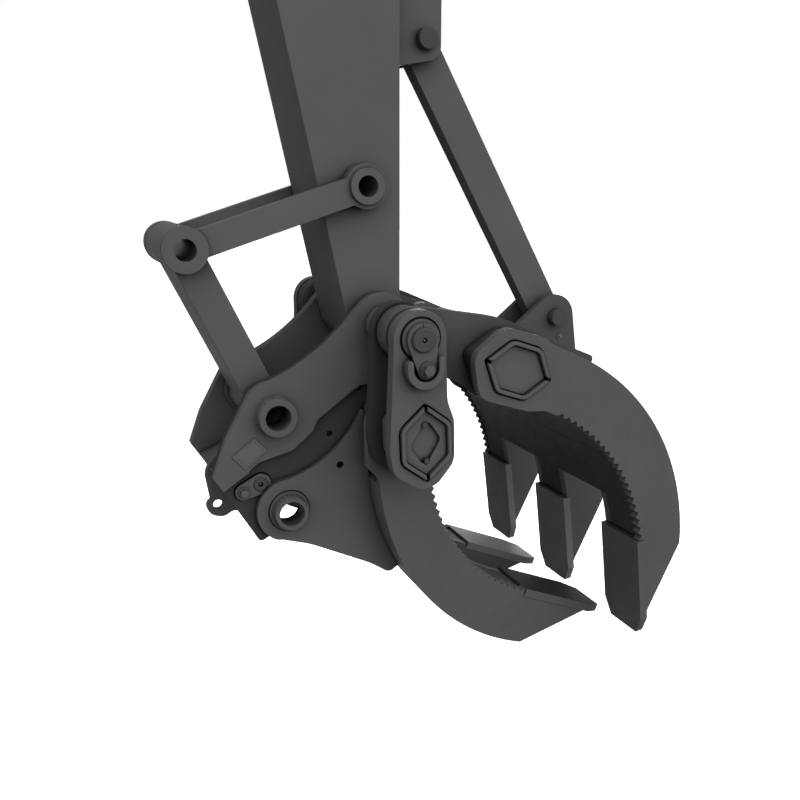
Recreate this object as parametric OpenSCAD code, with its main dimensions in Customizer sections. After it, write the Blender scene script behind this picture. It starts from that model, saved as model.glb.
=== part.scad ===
// Demolition grapple on the end of an excavator stick, millimetres.
// X points from the linkage to the jaws, Y runs along the pins, Z points up.
// The origin is the centre of the stick's cut top face. Every piece is drawn
// from the main pivot, which is the axis of the stick pin and of both jaws.

/* [Pins] */
// Diameter of the pin through the stick and the coupler
stick_pin_d = 80; // [60:1:90]
// Diameter of the two pins that hinge the jaws together
hinge_pin_d = 70; // [50:1:76]
// Outer diameter of the hollow pins of the tipping link
hollow_pin_d = 90; // [80:1:100]
// Bore of the hollow pins of the tipping link
hollow_pin_bore = 64; // [50:1:70]
// Bore of the bosses for the link pin and the rear pin
boss_bore_d = 80; // [60:1:90]
// Diameter of the pin at the top of the strut
strut_top_pin_d = 64; // [40:1:70]
// Diameter of the pin at the foot of the strut
strut_foot_pin_d = 56; // [40:1:64]
// Diameter of the locking pin of the coupler
lock_pin_d = 44; // [30:1:50]
// Radial running clearance of each pin
pin_fit = 0.05; // [0.02:0.01:0.1]
// Clearance between faces that slide past each other
side_gap = 0.5; // [0.3:0.1:2]

/* [Stick] */
// Width of the stick along the pins
stick_w = 290; // [250:1:300]
// Height of the cut top face above the main pivot
stick_h = 1150; // [1120:1:1400]
// Depth of the stick at its cut top
stick_top_depth = 425; // [380:1:480]
// Radius of the rounded stick end
stick_end_r = 88; // [75:1:92]

/* [Linkage] */
// Place of the tipping link's pivot on the stick, across
link_pivot_x = -40; // [-60:1:0]
// Place of the tipping link's pivot on the stick, up
link_pivot_z = 417; // [380:1:460]
// Place of the link pin on the coupler, across
coupler_pin_x = -354; // [-380:1:-340]
// Place of the link pin on the coupler, up
coupler_pin_z = -258; // [-270:1:-240]
// Length of the tipping link between its pins
tipping_link_l = 577; // [560:1:600]
// Length of the bucket link between its pins
bucket_link_l = 554; // [540:1:575]
// Clearance between the stick and each bar of the tipping link
bar_clear = 8; // [4:1:20]
// Thickness of each bar of the tipping link
bar_t = 40; // [20:1:50]
// Width of each bar of the tipping link
bar_w = 82; // [60:1:110]
// Radius of the round ends of the tipping link
bar_end_r = 67; // [60:1:75]
// Height of the raised ring round each end bore
bar_ring = 13; // [5:1:20]
// Radius of the raised ring at the tipping link's pivot
pivot_ring_r = 54; // [50:1:58]
// Width of the bucket link seen from the side
link_w = 99; // [80:1:115]
// Radius of the bucket link's lower hub
link_foot_r = 62; // [55:1:70]

/* [Coupler] */
// Clearance between the stick and each coupler plate
coupler_clear = 26; // [20:1:40]
// Thickness of the coupler's inner plates
coupler_t = 22; // [15:1:30]
// Thickness of the coupler's outer cheek plates
cheek_t = 23; // [15:1:35]
// Radius of the coupler round the stick pin
coupler_hub_r = 98; // [92:1:105]
// Radius of the coupler round the link pin
coupler_ear_r = 80; // [72:1:90]
// Outer radius of the bosses at the stick pin and the link pin
boss_r = 58; // [52:1:62]
// Height of the boss at the link pin
boss_h = 41; // [20:1:60]
// Radius of the bosses inside the coupler that meet the stick and the link
inner_boss_r = 75; // [62:1:78]
// Thickness of the plate that keeps the locking pin
lock_keeper_t = 8; // [5:1:14]
// Thickness of the lifting eye
eye_t = 20; // [12:1:40]

/* [Jaw hinge] */
// Distance from the middle plane to the inner fork plates
fork_at = 318; // [316:1:330]
// Thickness of the inner fork plates
fork_inner_t = 37; // [25:1:40]
// Opening of each fork
fork_gap = 106; // [90:1:120]
// Thickness of the outer fork plates
fork_outer_t = 40; // [25:1:45]
// Radius of the outer fork plates round the hinge pin
fork_outer_r = 82; // [72:1:84]
// Radius of the inner fork plates round the hinge pin
fork_inner_r = 88; // [80:1:94]
// Radius of the boss round each hinge pin on the outer forks
hinge_boss_r = 57; // [50:1:60]
// Height of the boss round each hinge pin
hinge_boss_h = 8; // [4:1:14]
// Width of the groove round each hinge boss
hinge_groove = 6.5; // [2:0.5:8]
// Thickness of the plates that keep the hinge pins
hinge_keeper_t = 12; // [6:1:18]
// Radius of the plates that keep the hinge pins
hinge_keeper_r = 47; // [42:1:50]
// How far the hinge pins stand out of their keepers
hinge_pin_proud = 11; // [4:1:20]
// Chamfer on the ends of the pins
pin_chamfer = 3; // [1:0.5:5]
// Radius of the grease holes in the ends of the pins
grease_r = 7.5; // [5:0.5:10]
// Height of the bars bent round the keepers' bolts
guard_h = 32; // [25:1:45]
// Radius of the upper arms' hubs
arm_hub_r = 80; // [70:1:84]
// Thickness of each upper arm
arm_t = 55; // [30:1:60]
// Thickness of the spacer outside each upper arm
arm_spacer_t = 24; // [10:1:34]
// Thickness of the washer inside each upper arm
arm_washer_t = 10; // [4:1:16]

/* [Torque tubes] */
// Half length of the torque tubes' six-sided section, seam to seam
hex_tip = 117; // [108:1:120]
// Half width of the torque tubes' section across its flat sides
hex_w = 80; // [74:1:82]
// Half length of the flat sides of the torque tubes' section
hex_side = 52; // [40:1:62]
// Wall of the torque tubes
hex_wall = 12; // [8:1:20]
// Radius of the tubes' bends
hex_bend_r = 34; // [25:1:45]
// Width of the open seam between the tube's halves
hex_seam = 10; // [4:1:16]
// How far the tube ends stand out of the outer plates
hex_proud = 10; // [4:1:20]
// Width of the groove round each tube in the outer plates
hex_groove = 5; // [2:1:8]
// Depth of the grooves round the tubes and round the bosses
groove_depth = 9; // [4:1:16]
// Depth of the collar round the upper tube beyond the tube's own faces
collar_h = 23; // [15:1:30]
// Depth from the tube's end to its cover
cover_recess = 14; // [6:1:30]
// Thickness of the covers in the tube ends
cover_t = 12; // [8:1:25]
// Gap between a cover's front face and the tube's wall
cover_gap = 3; // [1:0.5:6]
// Thickness of the access covers behind the lower tube's covers
access_t = 8; // [4:1:16]
// How far the access covers' bolts stand out
access_bolt_h = 16; // [6:1:20]

/* [Upper jaw] */
// How far the middle of each outer tine lies outside the middle of its arm
tine_offset = 31; // [27:1:36]
// Radius of the toothed inner edge at the tooth tips
upper_in_r = 637; // [628:1:646]
// Radius of the back of the upper tines
upper_out_r = 765; // [755:1:775]
// Direction of the wear plates' top edge from the centre of the inner edge
upper_wear_at = 8.6; // [7.5:0.1:10]
// Lean of the upper wear plates from upright
upper_wear_lean = 7.3; // [4:0.1:10]
// Direction of the inner skin's lower edge between the tines
upper_skin_end = 19.2; // [16:0.1:26]
// Number of teeth on each upper outer plate
upper_teeth = 21; // [10:1:24]

/* [Lower jaw] */
// Distance from the middle plane to each lower tine's middle
lower_at = 220; // [219:1:222]
// Radius of the toothed inner edge at the tooth tips
lower_in_r = 555; // [548:1:562]
// Radius of the back of the lower tines
lower_out_r = 763; // [755:1:772]
// Direction of the lower wear plates' rear edge
lower_wear_at = 250.3; // [248:0.1:251]
// Fall of the lower wear plates towards the tip
lower_wear_fall = 23; // [20:0.1:26]
// Direction of the lower inner skin's edge between the tines
lower_skin_end = 214; // [205:1:225]
// Number of teeth on each lower outer plate
lower_teeth = 21; // [10:1:24]
// Thickness of the ear plates
ear_t = 24; // [15:1:30]
// Radius of the ear plates' low ring round the rear pin
ear_ring_r = 64; // [60:1:66]
// Height of the ear plates' low ring
ear_ring_h = 6; // [3:1:12]
// Width of the groove round the ear plates' low ring
ear_groove = 3.5; // [1:0.5:6]
// Radius of the hole in the middle of each ear plate
ear_hole_r = 12; // [6:1:16]
// Radius of the ear plates' boss round the rear pin
ear_boss_r = 52; // [47:1:56]
// Height of the ear plates' boss
ear_boss_h = 37; // [20:1:45]

/* [Tines] */
// Width of every wear plate
wear_w = 203; // [190:1:210]
// Thickness of the wear plates
wear_t = 29; // [20:1:35]
// Weld gap between a wear plate and the tine's edge
wear_seat = 0.1; // [0.05:0.05:0.5]
// Length of the wear plates
wear_l = 360; // [320:1:380]
// Length of the bevelled corners at the wear plates' tips
wear_tip_l = 62; // [30:1:100]
// Width of the bevelled corners at the wear plates' tips
wear_tip_w = 31; // [15:1:60]
// Thickness of the toothed plates
tooth_plate_t = 30; // [22:1:40]
// Thickness of the plain tine plates
plain_plate_t = 30; // [20:1:36]
// Depth of the teeth
tooth_h = 13; // [6:1:18]
// Thickness of the skins
skin_t = 20; // [10:1:24]
// Clearance between the arms and the inner skin of the upper jaw
arm_seat = 4; // [0.3:0.1:10]
// How far the upper tine plates lie inside the wear plates' edges
plate_inset = 2; // [1:0.5:12]

/* [Strut] */
// Place of the strut's top pin, across
strut_top_x = 200; // [190:1:215]
// Place of the strut's top pin, up
strut_top_z = 860; // [840:1:880]
// Place of the strut's foot pin, across
strut_foot_x = 719; // [705:1:735]
// Place of the strut's foot pin, up
strut_foot_z = -39; // [-50:1:-28]
// Width of the strut seen from the side
strut_w = 118; // [90:1:124]
// Thickness of the strut along the pins
strut_t = 60; // [40:1:80]
// Radius of the strut's ends
strut_end_r = 64; // [60:1:66]
// Thickness of the lugs that hold the strut
lug_t = 24; // [15:1:30]
// Distance from the middle plane to the outside of the lugs
lug_at = 80; // [78:1:100]
// Radius of the strut lugs on the jaw
jaw_lug_r = 79; // [70:1:86]
// How far the strut's pins stand out of the lugs
strut_pin_proud = 32; // [10:1:40]

/* [Hidden] */

// Finishes, as plain colours
frame_grey = [0.33, 0.33, 0.34];
plate_grey = [0.36, 0.36, 0.37];
pin_grey = [0.42, 0.42, 0.43];

// Smoothness of round pieces and of rounded corners
$fn = 72;
corner_step = 9;

// Joints, as [across, up] from the main pivot
pivot = [0, 0];
link_pivot = [link_pivot_x, link_pivot_z];
coupler_pin = [coupler_pin_x, coupler_pin_z];
link_hinge = meeting(link_pivot, tipping_link_l, coupler_pin, bucket_link_l);
strut_top = [strut_top_x, strut_top_z];
strut_foot = [strut_foot_x, strut_foot_z];
rear_pin = [-320, -571];
rear_end_r = 102;
lock_at = [-404, -477];
lock_bolt_at = [-458, -497];
lock_keeper_r = 33;
lock_keeper_bolt_r = 26;
hinge_bolt_at = [12.5, -87];
hinge_keeper_bolt_r = 29;
hinge_bolt_r = 17;
lock_bolt_r = 13;
keeper_split = 2;
upper_hex = [300, -109];
lower_hex = [20, -311];
upper_hex_turn = -19.3;
lower_hex_turn = 92.6;

// Centres of the jaws' big arcs
upper_in_c = [161, -834];
upper_out_c = [200, -781];
lower_in_c = [683, -431];
lower_out_c = [708, -431];

// Stations along the pins, measured from the middle plane
stick_half = stick_w / 2;
bar_in = stick_half + bar_clear;
bar_out = bar_in + bar_t;
link_half = bar_in - side_gap;
coupler_in = stick_half + coupler_clear;
coupler_mid = coupler_in + coupler_t;
coupler_out = coupler_mid + cheek_t;
ear_in = coupler_mid;
ear_out = ear_in + ear_t;
boss_out = coupler_out + boss_h;
fork_inner_out = fork_at + fork_inner_t;
fork_outer_in = fork_inner_out + fork_gap;
fork_outer_out = fork_outer_in + fork_outer_t;
hinge_boss_out = fork_outer_out + hinge_boss_h;
hinge_keeper_out = hinge_boss_out + hinge_keeper_t;
hub_in = fork_inner_out + arm_washer_t + side_gap;
hub_out = fork_outer_in - arm_spacer_t - side_gap;
arm_in = hub_out - arm_t;
lower_tube_half = fork_outer_out + hex_proud;
upper_pitch = arm_in + arm_t / 2 + tine_offset;
upper_edge = upper_pitch + wear_w / 2;
upper_face = upper_edge - plate_inset;
upper_tube_half = upper_face + hex_proud;
upper_plain_at = upper_pitch - wear_w / 2 + plate_inset;
middle_face = wear_w / 2 - plate_inset;
lower_plain_at = lower_at - wear_w / 2 + 4;
lug_in = lug_at - lug_t;

// Point where two links of known length meet, on the side away from the jaws
function meeting(a, ra, c, rc) =
    let (d = norm(c - a), u = (c - a) / d, s = (ra * ra - rc * rc + d * d) / (2 * d))
    let (h = sqrt(ra * ra - s * s))
    a + u * s + h * [u[1], -u[0]];

function polar(c, r, a) = c + r * [cos(a), sin(a)];
function turn(v, a) = [v[0] * cos(a) - v[1] * sin(a), v[0] * sin(a) + v[1] * cos(a)];
function heading(v) = atan2(v[1], v[0]);
function arc(c, r, a0, a1, n) = [for (i = [0:n]) polar(c, r, a0 + (a1 - a0) * i / n)];

// Toothed arc: even points are tooth tips and odd points are the notches
function toothed(c, tip_r, root_r, a0, a1, n) =
    [for (i = [0:2 * n]) polar(c, i % 2 == 0 ? tip_r : root_r, a0 + (a1 - a0) * i / (2 * n))];

// Points that round the corner b between a and c, limited by the shorter side
function corner(a, b, c, r) =
    let (u = (a - b) / norm(a - b), w = (c - b) / norm(c - b), half = acos(u * w) / 2)
    let (reach = min(r / tan(half), 0.48 * min(norm(a - b), norm(c - b))), rr = reach * tan(half))
    let (m = b + (u + w) / norm(u + w) * rr / sin(half))
    let (a0 = heading(b + u * reach - m), sweep = (heading(b + w * reach - m) - a0 + 540) % 360 - 180)
    arc(m, rr, a0, a0 + sweep, max(2, ceil(abs(sweep) / corner_step)));

// Outline through points [x, z, corner radius]
function rounded(p) =
    let (n = len(p))
    [for (i = [0:n - 1])
        let (a = p[(i + n - 1) % n], b = p[i], c = p[(i + 1) % n])
        each b[2] > 0 ? corner([a[0], a[1]], [b[0], b[1]], [c[0], c[1]], b[2]) : [[b[0], b[1]]]];

// Six-sided section of a torque tube, moved outwards by grow, as [x, z, corner radius]
function hexagon(c, spin, grow, bend) =
    let (run = norm([hex_w, hex_tip - hex_side]), fall = (hex_tip - hex_side) / run, rise = hex_w / run)
    let (tip = hex_tip + grow / rise, w = hex_w + grow)
    let (side = (hex_tip * rise + grow - fall * w) / rise)
    [for (p = [[tip, 0], [side, w], [-side, w], [-tip, 0], [-side, -w], [side, -w]])
        let (q = c + turn(p, spin)) [q[0], q[1], p[1] == 0 ? 2 + max(grow, 0) : bend]];

// Direction in which a line from p touches a circle of radius r at c, on the given side
function touch(c, r, p, side) = heading(p - c) + side * acos(r / norm(p - c));

// Puts what is drawn from the main pivot into the part's own frame
module at_pivot() {
    translate([stick_top_depth / 2 - stick_end_r, 0, -stick_h]) children();
}

// Outline in the X-Z plane made solid from y0 to y1
module slab(y0, y1) {
    translate([0, y1, 0]) rotate([90, 0, 0]) linear_extrude(y1 - y0) children();
}

module rod(at, r, y0, y1) {
    translate([at[0], y1, at[1]]) rotate([90, 0, 0]) cylinder(r = r, h = y1 - y0);
}

// Bore that runs past both faces
module bore(at, r, y0, y1) {
    rod(at, r, y0 - 1, y1 + 1);
}

module far() {
    mirror([0, 1, 0]) children();
}

module both() {
    children();
    far() children();
}

module hex_2d(c, spin, grow) {
    polygon(rounded(hexagon(c, spin, grow, hex_bend_r + grow)));
}

// Hexagonal hole in the plates that the torque tube passes through
module hex_hole(c, spin, y0, y1) {
    slab(y0 - 1, y1 + 1) hex_2d(c, spin, 0);
}

// One half of a torque tube, split along the line through two opposite corners
module tube_half(c, spin, half_l, side) {
    slab(-half_l, half_l) intersection() {
        difference() {
            hex_2d(c, spin, 0);
            hex_2d(c, spin, -hex_wall);
        }
        translate(c)
            rotate(spin)
            translate([-2 * hex_tip, side > 0 ? hex_seam / 2 : -2 * hex_tip - hex_seam / 2])
            square([4 * hex_tip, 2 * hex_tip]);
    }
}

// Groove round a torque tube, cut into the outside of the plate that it passes through
module tube_groove(c, spin, face) {
    slab(-face - 1, -face + groove_depth) difference() {
        hex_2d(c, spin, hex_groove);
        hex_2d(c, spin, 0);
    }
}

// Six-sided cover inside one tube end, let in with a gap all round its face
module tube_cover(c, spin, half_l) {
    front = half_l - cover_recess;
    seat = front - cover_t / 2;
    slab(-front, -seat) hex_2d(c, spin, -hex_wall - cover_gap);
    slab(-seat, -front + cover_t) hex_2d(c, spin, -hex_wall);
}

// Wear plate seen along the pins: the plate's face runs from the start point at the given heading
module wear_plate(start, dir, y_mid) {
    w = wear_w / 2;
    translate([start[0], y_mid, start[1]]) rotate([0, -dir, 0]) translate([0, 0, wear_seat])
        linear_extrude(wear_t - 2 * wear_seat)
            polygon([
                [0, -w], [wear_l - wear_tip_l, -w], [wear_l, -w + wear_tip_w],
                [wear_l, w - wear_tip_w], [wear_l - wear_tip_l, w], [0, w]
            ]);
}

// Outline of a teardrop plate round a pin and a bolt
module keeper_2d(at, r, bolt_at, bolt_r) {
    away = heading(bolt_at - at);
    lean = acos((r - bolt_r) / norm(bolt_at - at));
    polygon(concat(
        arc(at, r, away + lean, away + 360 - lean, 30),
        arc(bolt_at, bolt_r, away - lean, away + lean, 14)));
}

// Teardrop plate that keeps a pin from turning
module keeper(at, r, bolt_at, bolt_r, pin_r, y0, y1) {
    difference() {
        slab(y0, y1) keeper_2d(at, r, bolt_at, bolt_r);
        bore(at, pin_r, y0, y1);
    }
}

// Groove round the locking pin's keeper, seen along the pins
module lock_keeper_groove_2d() {
    difference() {
        keeper_2d(lock_at, lock_keeper_r + 4, lock_bolt_at, lock_keeper_bolt_r + 4);
        keeper_2d(lock_at, lock_keeper_r, lock_bolt_at, lock_keeper_bolt_r);
    }
}

// Round pin with chamfered ends and a grease hole in each end
module greased_pin(at, r, y0, y1) {
    end_r = r - pin_chamfer;
    difference() {
        translate([at[0], y1, at[1]]) rotate([90, 0, 0]) union() {
            cylinder(r1 = end_r, r2 = r, h = pin_chamfer);
            translate([0, 0, pin_chamfer]) cylinder(r = r, h = y1 - y0 - 2 * pin_chamfer);
            translate([0, 0, y1 - y0 - pin_chamfer]) cylinder(r1 = r, r2 = end_r, h = pin_chamfer);
        }
        rod(at, grease_r, y0 - 1, y0 + 20);
        rod(at, grease_r, y1 - 20, y1 + 1);
    }
}

// Hexagon head on a washer and a flange, standing out of a face towards the near side
module bolt_head(at, r, y) {
    washer = 0.3 * r;
    flange = 0.25 * r;
    rod(at, 1.4 * r, y - washer, y);
    rod(at, 1.15 * r, y - washer - flange, y - washer);
    translate([at[0], y - washer - flange, at[1]])
        rotate([90, 0, 0])
        cylinder(r = r, h = 0.7 * r, $fn = 6);
}

// Stick end, solid like the closed box that it stands for
module stick() {
    back = [stick_end_r - stick_top_depth, stick_h];
    color(frame_grey) at_pivot() difference() {
        slab(-stick_half, stick_half) polygon(concat(
            [[stick_end_r, stick_h], back],
            arc(pivot, stick_end_r, touch(pivot, stick_end_r, back, 1), 360, 24)));
        bore(pivot, stick_pin_d / 2 + pin_fit, -stick_half, stick_half);
        bore(link_pivot, hollow_pin_d / 2 + pin_fit, -stick_half, stick_half);
    }
}

// Lug on the front of the stick that holds the strut's top pin
module bracket_lug() {
    face = stick_end_r;
    tip = strut_top[0] + 57;
    foot = strut_top[1] - 86;
    difference() {
        slab(-lug_at, -lug_in) polygon(rounded([
            [face, foot, 0], [tip, foot + 0.176 * (tip - face), 48],
            [tip, stick_h - 120, 60], [face, stick_h - 50, 0]
        ]));
        bore(strut_top, strut_top_pin_d / 2, -lug_at, -lug_in);
    }
}

module bracket_lug_near() {
    color(plate_grey) at_pivot() bracket_lug();
}

module bracket_lug_far() {
    color(plate_grey) at_pivot() far() bracket_lug();
}

// Stiff arm between the stick and the upper jaw
module strut() {
    run = strut_foot - strut_top;
    lie = heading(run);
    lean = asin(strut_w / 2 / strut_end_r);
    color(frame_grey) at_pivot() difference() {
        slab(-strut_t / 2, strut_t / 2) polygon(concat(
            arc(strut_top, strut_end_r, lie + lean, lie + 360 - lean, 26),
            arc(strut_foot, strut_end_r, lie - 180 + lean, lie + 180 - lean, 26)));
        bore(strut_top, strut_top_pin_d / 2 + pin_fit, -strut_t / 2, strut_t / 2);
        bore(strut_foot, strut_foot_pin_d / 2 + pin_fit, -strut_t / 2, strut_t / 2);
    }
}

module strut_pin(at, d) {
    y = lug_at + strut_pin_proud;
    rod(at, d / 2, -y, y);
}

module strut_pins() {
    color(pin_grey) at_pivot() {
        strut_pin(strut_top, strut_top_pin_d);
        strut_pin(strut_foot, strut_foot_pin_d);
    }
}

// Rings that centre the strut between its lugs
module strut_spacers() {
    color(pin_grey) at_pivot() both() {
        for (p = [[strut_top, strut_top_pin_d], [strut_foot, strut_foot_pin_d]]) {
            difference() {
                rod(p[0], p[1] / 2 + 14, -lug_in, -strut_t / 2);
                bore(p[0], p[1] / 2, -lug_in, -strut_t / 2);
            }
        }
    }
}

// Outline of an upper tine: lobe round the torque tube, back, point and inner edge
wear_dir_upper = -90 + upper_wear_lean;
skin_top_at = 69;
arm_foot_at = 66.8;
upper_skin_r = upper_in_r + tooth_h - 3;
arm_foot_r = upper_skin_r + skin_t + arm_seat;
upper_wear_top = polar(upper_in_c, upper_skin_r + 11, upper_wear_at);
upper_point_back = upper_wear_top + 272 * [cos(wear_dir_upper), sin(wear_dir_upper)];
upper_back = arc(upper_out_c, upper_out_r, 66, 0.8, 30);
upper_behind = arc(upper_in_c, upper_skin_r + skin_t, upper_skin_end, skin_top_at, 20);
tooth_start = 0.3;
upper_teeth_end = 63.5;
lower_teeth_end = 187;

function upper_front() = rounded([
    [245, -209, 60], [172, -182, 60], [151, -56, 52], [255, 23, 60], [392, -18, 60],
    [450, -74, 60], [520, -92, 0], [450, -260, 0], [388, -240, 60], [330, -236, 60]
]);

module upper_skin_2d() {
    polygon(concat(arc(upper_in_c, upper_skin_r, skin_top_at, upper_skin_end, 24), upper_behind));
}

// Plate of an upper tine, with a toothed or a plain inner edge
module upper_plate_2d(inner) {
    polygon(concat(
        upper_back,
        [upper_point_back, upper_wear_top],
        inner,
        [[330, -238]],
        [[395, -30]]));
    polygon(upper_front());
}

function upper_toothed_edge() = concat(
    toothed(upper_in_c, upper_in_r, upper_in_r + tooth_h,
            upper_wear_at + tooth_start, upper_teeth_end, upper_teeth),
    [polar(upper_in_c, upper_in_r, 68)]);

function upper_plain_edge() = concat(
    arc(upper_in_c, upper_skin_r, upper_wear_at + tooth_start, upper_skin_end, 5),
    upper_behind);

module upper_plate(y0, y1, inner) {
    difference() {
        slab(y0, y1) upper_plate_2d(inner);
        hex_hole(upper_hex, upper_hex_turn, y0, y1);
    }
}

// Plate with a plain inner edge, cut where the inner skin passes in front of it
module upper_plain_plate(y0, y1) {
    difference() {
        upper_plate(y0, y1, upper_plain_edge());
        slab(y0 - 1, y1 + 1) upper_skin_2d();
    }
}

module upper_outer_plate() {
    difference() {
        upper_plate(-upper_face, -upper_face + tooth_plate_t, upper_toothed_edge());
        tube_groove(upper_hex, upper_hex_turn, upper_face);
    }
}

module upper_outer_plate_near() {
    color(plate_grey) at_pivot() upper_outer_plate();
}

module upper_outer_plate_far() {
    color(plate_grey) at_pivot() far() upper_outer_plate();
}

module upper_inner_plates() {
    color(plate_grey) at_pivot() both()
        upper_plain_plate(-upper_plain_at - plain_plate_t, -upper_plain_at);
}

module upper_middle_plates() {
    color(plate_grey) at_pivot() both()
        upper_plain_plate(-middle_face, -middle_face + plain_plate_t);
}

module upper_tube_top() {
    color(frame_grey) at_pivot() tube_half(upper_hex, upper_hex_turn, upper_tube_half, 1);
}

module upper_tube_bottom() {
    color(frame_grey) at_pivot() tube_half(upper_hex, upper_hex_turn, upper_tube_half, -1);
}

module upper_tube_covers() {
    color(plate_grey) at_pivot() both() tube_cover(upper_hex, upper_hex_turn, upper_tube_half);
}

// Collars that join each arm to the outer plate of its tine
module upper_collars() {
    color(frame_grey) at_pivot() both() difference() {
        slab(-upper_face + tooth_plate_t, -hub_out) hex_2d(upper_hex, upper_hex_turn, collar_h);
        hex_hole(upper_hex, upper_hex_turn, -upper_face + tooth_plate_t, -hub_out);
    }
}

// Concave skin in front of the tines, with a tongue down the front of each tine
module upper_inner_skin() {
    inside = upper_face - tooth_plate_t;
    r = upper_skin_r;
    color(plate_grey) at_pivot() {
        slab(-inside, inside) upper_skin_2d();
        for (tongue = [[-inside, -upper_plain_at - plain_plate_t],
                       [-middle_face + plain_plate_t, middle_face - plain_plate_t],
                       [upper_plain_at + plain_plate_t, inside]]) {
            slab(tongue[0], tongue[1]) polygon(concat(
                arc(upper_in_c, r, upper_wear_at + tooth_start, upper_skin_end, 6),
                arc(upper_in_c, r + skin_t, upper_skin_end, upper_wear_at + tooth_start, 6)));
        }
    }
}

// Skins that close the backs of the three upper tines
module upper_back_skins() {
    first = 6;
    tail = upper_point_back;
    knee = upper_back[30];
    inset = skin_t * (tail - knee) / norm(tail - knee);
    inner = 1 - skin_t / upper_out_r;
    band = concat(
        [for (i = [first:30]) upper_back[i]], [tail], [tail + turn(inset, -90) - 2 * inset],
        [knee + turn(inset, -90)],
        [for (i = [29:-1:first]) upper_out_c + (upper_back[i] - upper_out_c) * inner]);
    color(plate_grey) at_pivot() {
        for (gap = [[-upper_face + tooth_plate_t, -upper_plain_at - plain_plate_t],
                    [-middle_face + plain_plate_t, middle_face - plain_plate_t],
                    [upper_plain_at + plain_plate_t, upper_face - tooth_plate_t]]) {
            slab(gap[0], gap[1]) polygon(band);
        }
    }
}

module upper_wear_plate(y_mid) {
    color(frame_grey) at_pivot()
        wear_plate(upper_wear_top + wear_t * turn([cos(wear_dir_upper), sin(wear_dir_upper)], -90),
                   wear_dir_upper, y_mid);
}

module upper_wear_plate_near() {
    upper_wear_plate(-upper_pitch);
}

module upper_wear_plate_middle() {
    upper_wear_plate(0);
}

module upper_wear_plate_far() {
    upper_wear_plate(upper_pitch);
}

// Arm from the hinge to the upper jaw
module upper_arm() {
    start = touch(pivot, arm_hub_r, [300, 32], 1);
    finish = touch(pivot, arm_hub_r, [130, -142], -1);
    foot = polar(upper_in_c, arm_foot_r, arm_foot_at);
    difference() {
        union() {
            slab(-hub_out, -arm_in) difference() {
                polygon(concat(
                    arc(pivot, arm_hub_r, finish, start - 360, 30),
                    rounded([
                        [60, 74, 0], [300, 32, 300], [480, -46, 200], [640, -112, 14], [610, -190, 30],
                        [foot[0], foot[1], 60], [250, -218, 60], [130, -142, 90], [40, -100, 0]
                    ])));
                polygon(concat(
                    [upper_in_c], arc(upper_in_c, arm_foot_r, skin_top_at, upper_skin_end, 24)));
            }
            rod(pivot, arm_hub_r, -hub_out, -hub_in);
        }
        bore(pivot, hinge_pin_d / 2 + pin_fit, -hub_out, -hub_in);
        hex_hole(upper_hex, upper_hex_turn, -hub_out, -arm_in);
    }
}

module upper_arm_near() {
    color(frame_grey) at_pivot() upper_arm();
}

module upper_arm_far() {
    color(frame_grey) at_pivot() far() upper_arm();
}

// Lug on the middle upper tine that holds the strut's foot pin
module strut_lug() {
    left = [540, -80];
    right = [820, -180];
    a0 = touch(strut_foot, jaw_lug_r, left, -1);
    a1 = touch(strut_foot, jaw_lug_r, right, 1);
    difference() {
        slab(-lug_at, -lug_in) difference() {
            polygon(concat(
                arc(strut_foot, jaw_lug_r, a0, a1 - 360, 24),
                [right, [800, -320], [520, -160], left]));
            polygon(concat([upper_out_c], upper_back));
        }
        bore(strut_foot, strut_foot_pin_d / 2, -lug_at, -lug_in);
        bore([743, -111], 5, -lug_at, -lug_in);
    }
}

module strut_lug_near() {
    color(plate_grey) at_pivot() strut_lug();
}

module strut_lug_far() {
    color(plate_grey) at_pivot() far() strut_lug();
}

// Outline of a fork plate: round the hinge pin and round the torque tube
function fork_outline(r) = concat(
    arc(pivot, r, 0, 180, 24),
    rounded([
        [-r, -40, 0], [-r - 12, -330, 120], [-80, -402, 60], [10, -455, 60],
        [57, -445, 60], [114, -379, 60], [111, -250, 80], [r + 6, -190, 90], [r, -40, 0]
    ]));

module fork_plate(r, y0, y1) {
    difference() {
        slab(y0, y1) polygon(fork_outline(r));
        bore(pivot, hinge_pin_d / 2, y0, y1);
        hex_hole(lower_hex, lower_hex_turn, y0, y1);
    }
}

module fork_outer() {
    difference() {
        union() {
            difference() {
                fork_plate(fork_outer_r, -fork_outer_out, -fork_outer_in);
                rod(pivot, hinge_boss_r + hinge_groove,
                    -fork_outer_out - 1, -fork_outer_out + groove_depth);
            }
            rod(pivot, hinge_boss_r, -hinge_boss_out, -fork_outer_in);
        }
        bore(pivot, hinge_pin_d / 2, -hinge_boss_out, -fork_outer_in);
        tube_groove(lower_hex, lower_hex_turn, fork_outer_out);
    }
}

module fork_outer_near() {
    color(plate_grey) at_pivot() fork_outer();
}

module fork_outer_far() {
    color(plate_grey) at_pivot() far() fork_outer();
}

module fork_inner_near() {
    color(plate_grey) at_pivot() fork_plate(fork_inner_r, -fork_inner_out, -fork_at);
}

module fork_inner_far() {
    color(plate_grey) at_pivot() far() fork_plate(fork_inner_r, -fork_inner_out, -fork_at);
}

module lower_tube_front() {
    color(frame_grey) at_pivot() tube_half(lower_hex, lower_hex_turn, lower_tube_half, -1);
}

module lower_tube_rear() {
    color(frame_grey) at_pivot() tube_half(lower_hex, lower_hex_turn, lower_tube_half, 1);
}

// Diamond opening in the lower tube's covers, closed from behind by bolted access covers
cover_back = lower_tube_half - cover_recess - cover_t;
opening_h = 76;
opening_w = 51;
access_bolt_r = 8.5;

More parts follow.
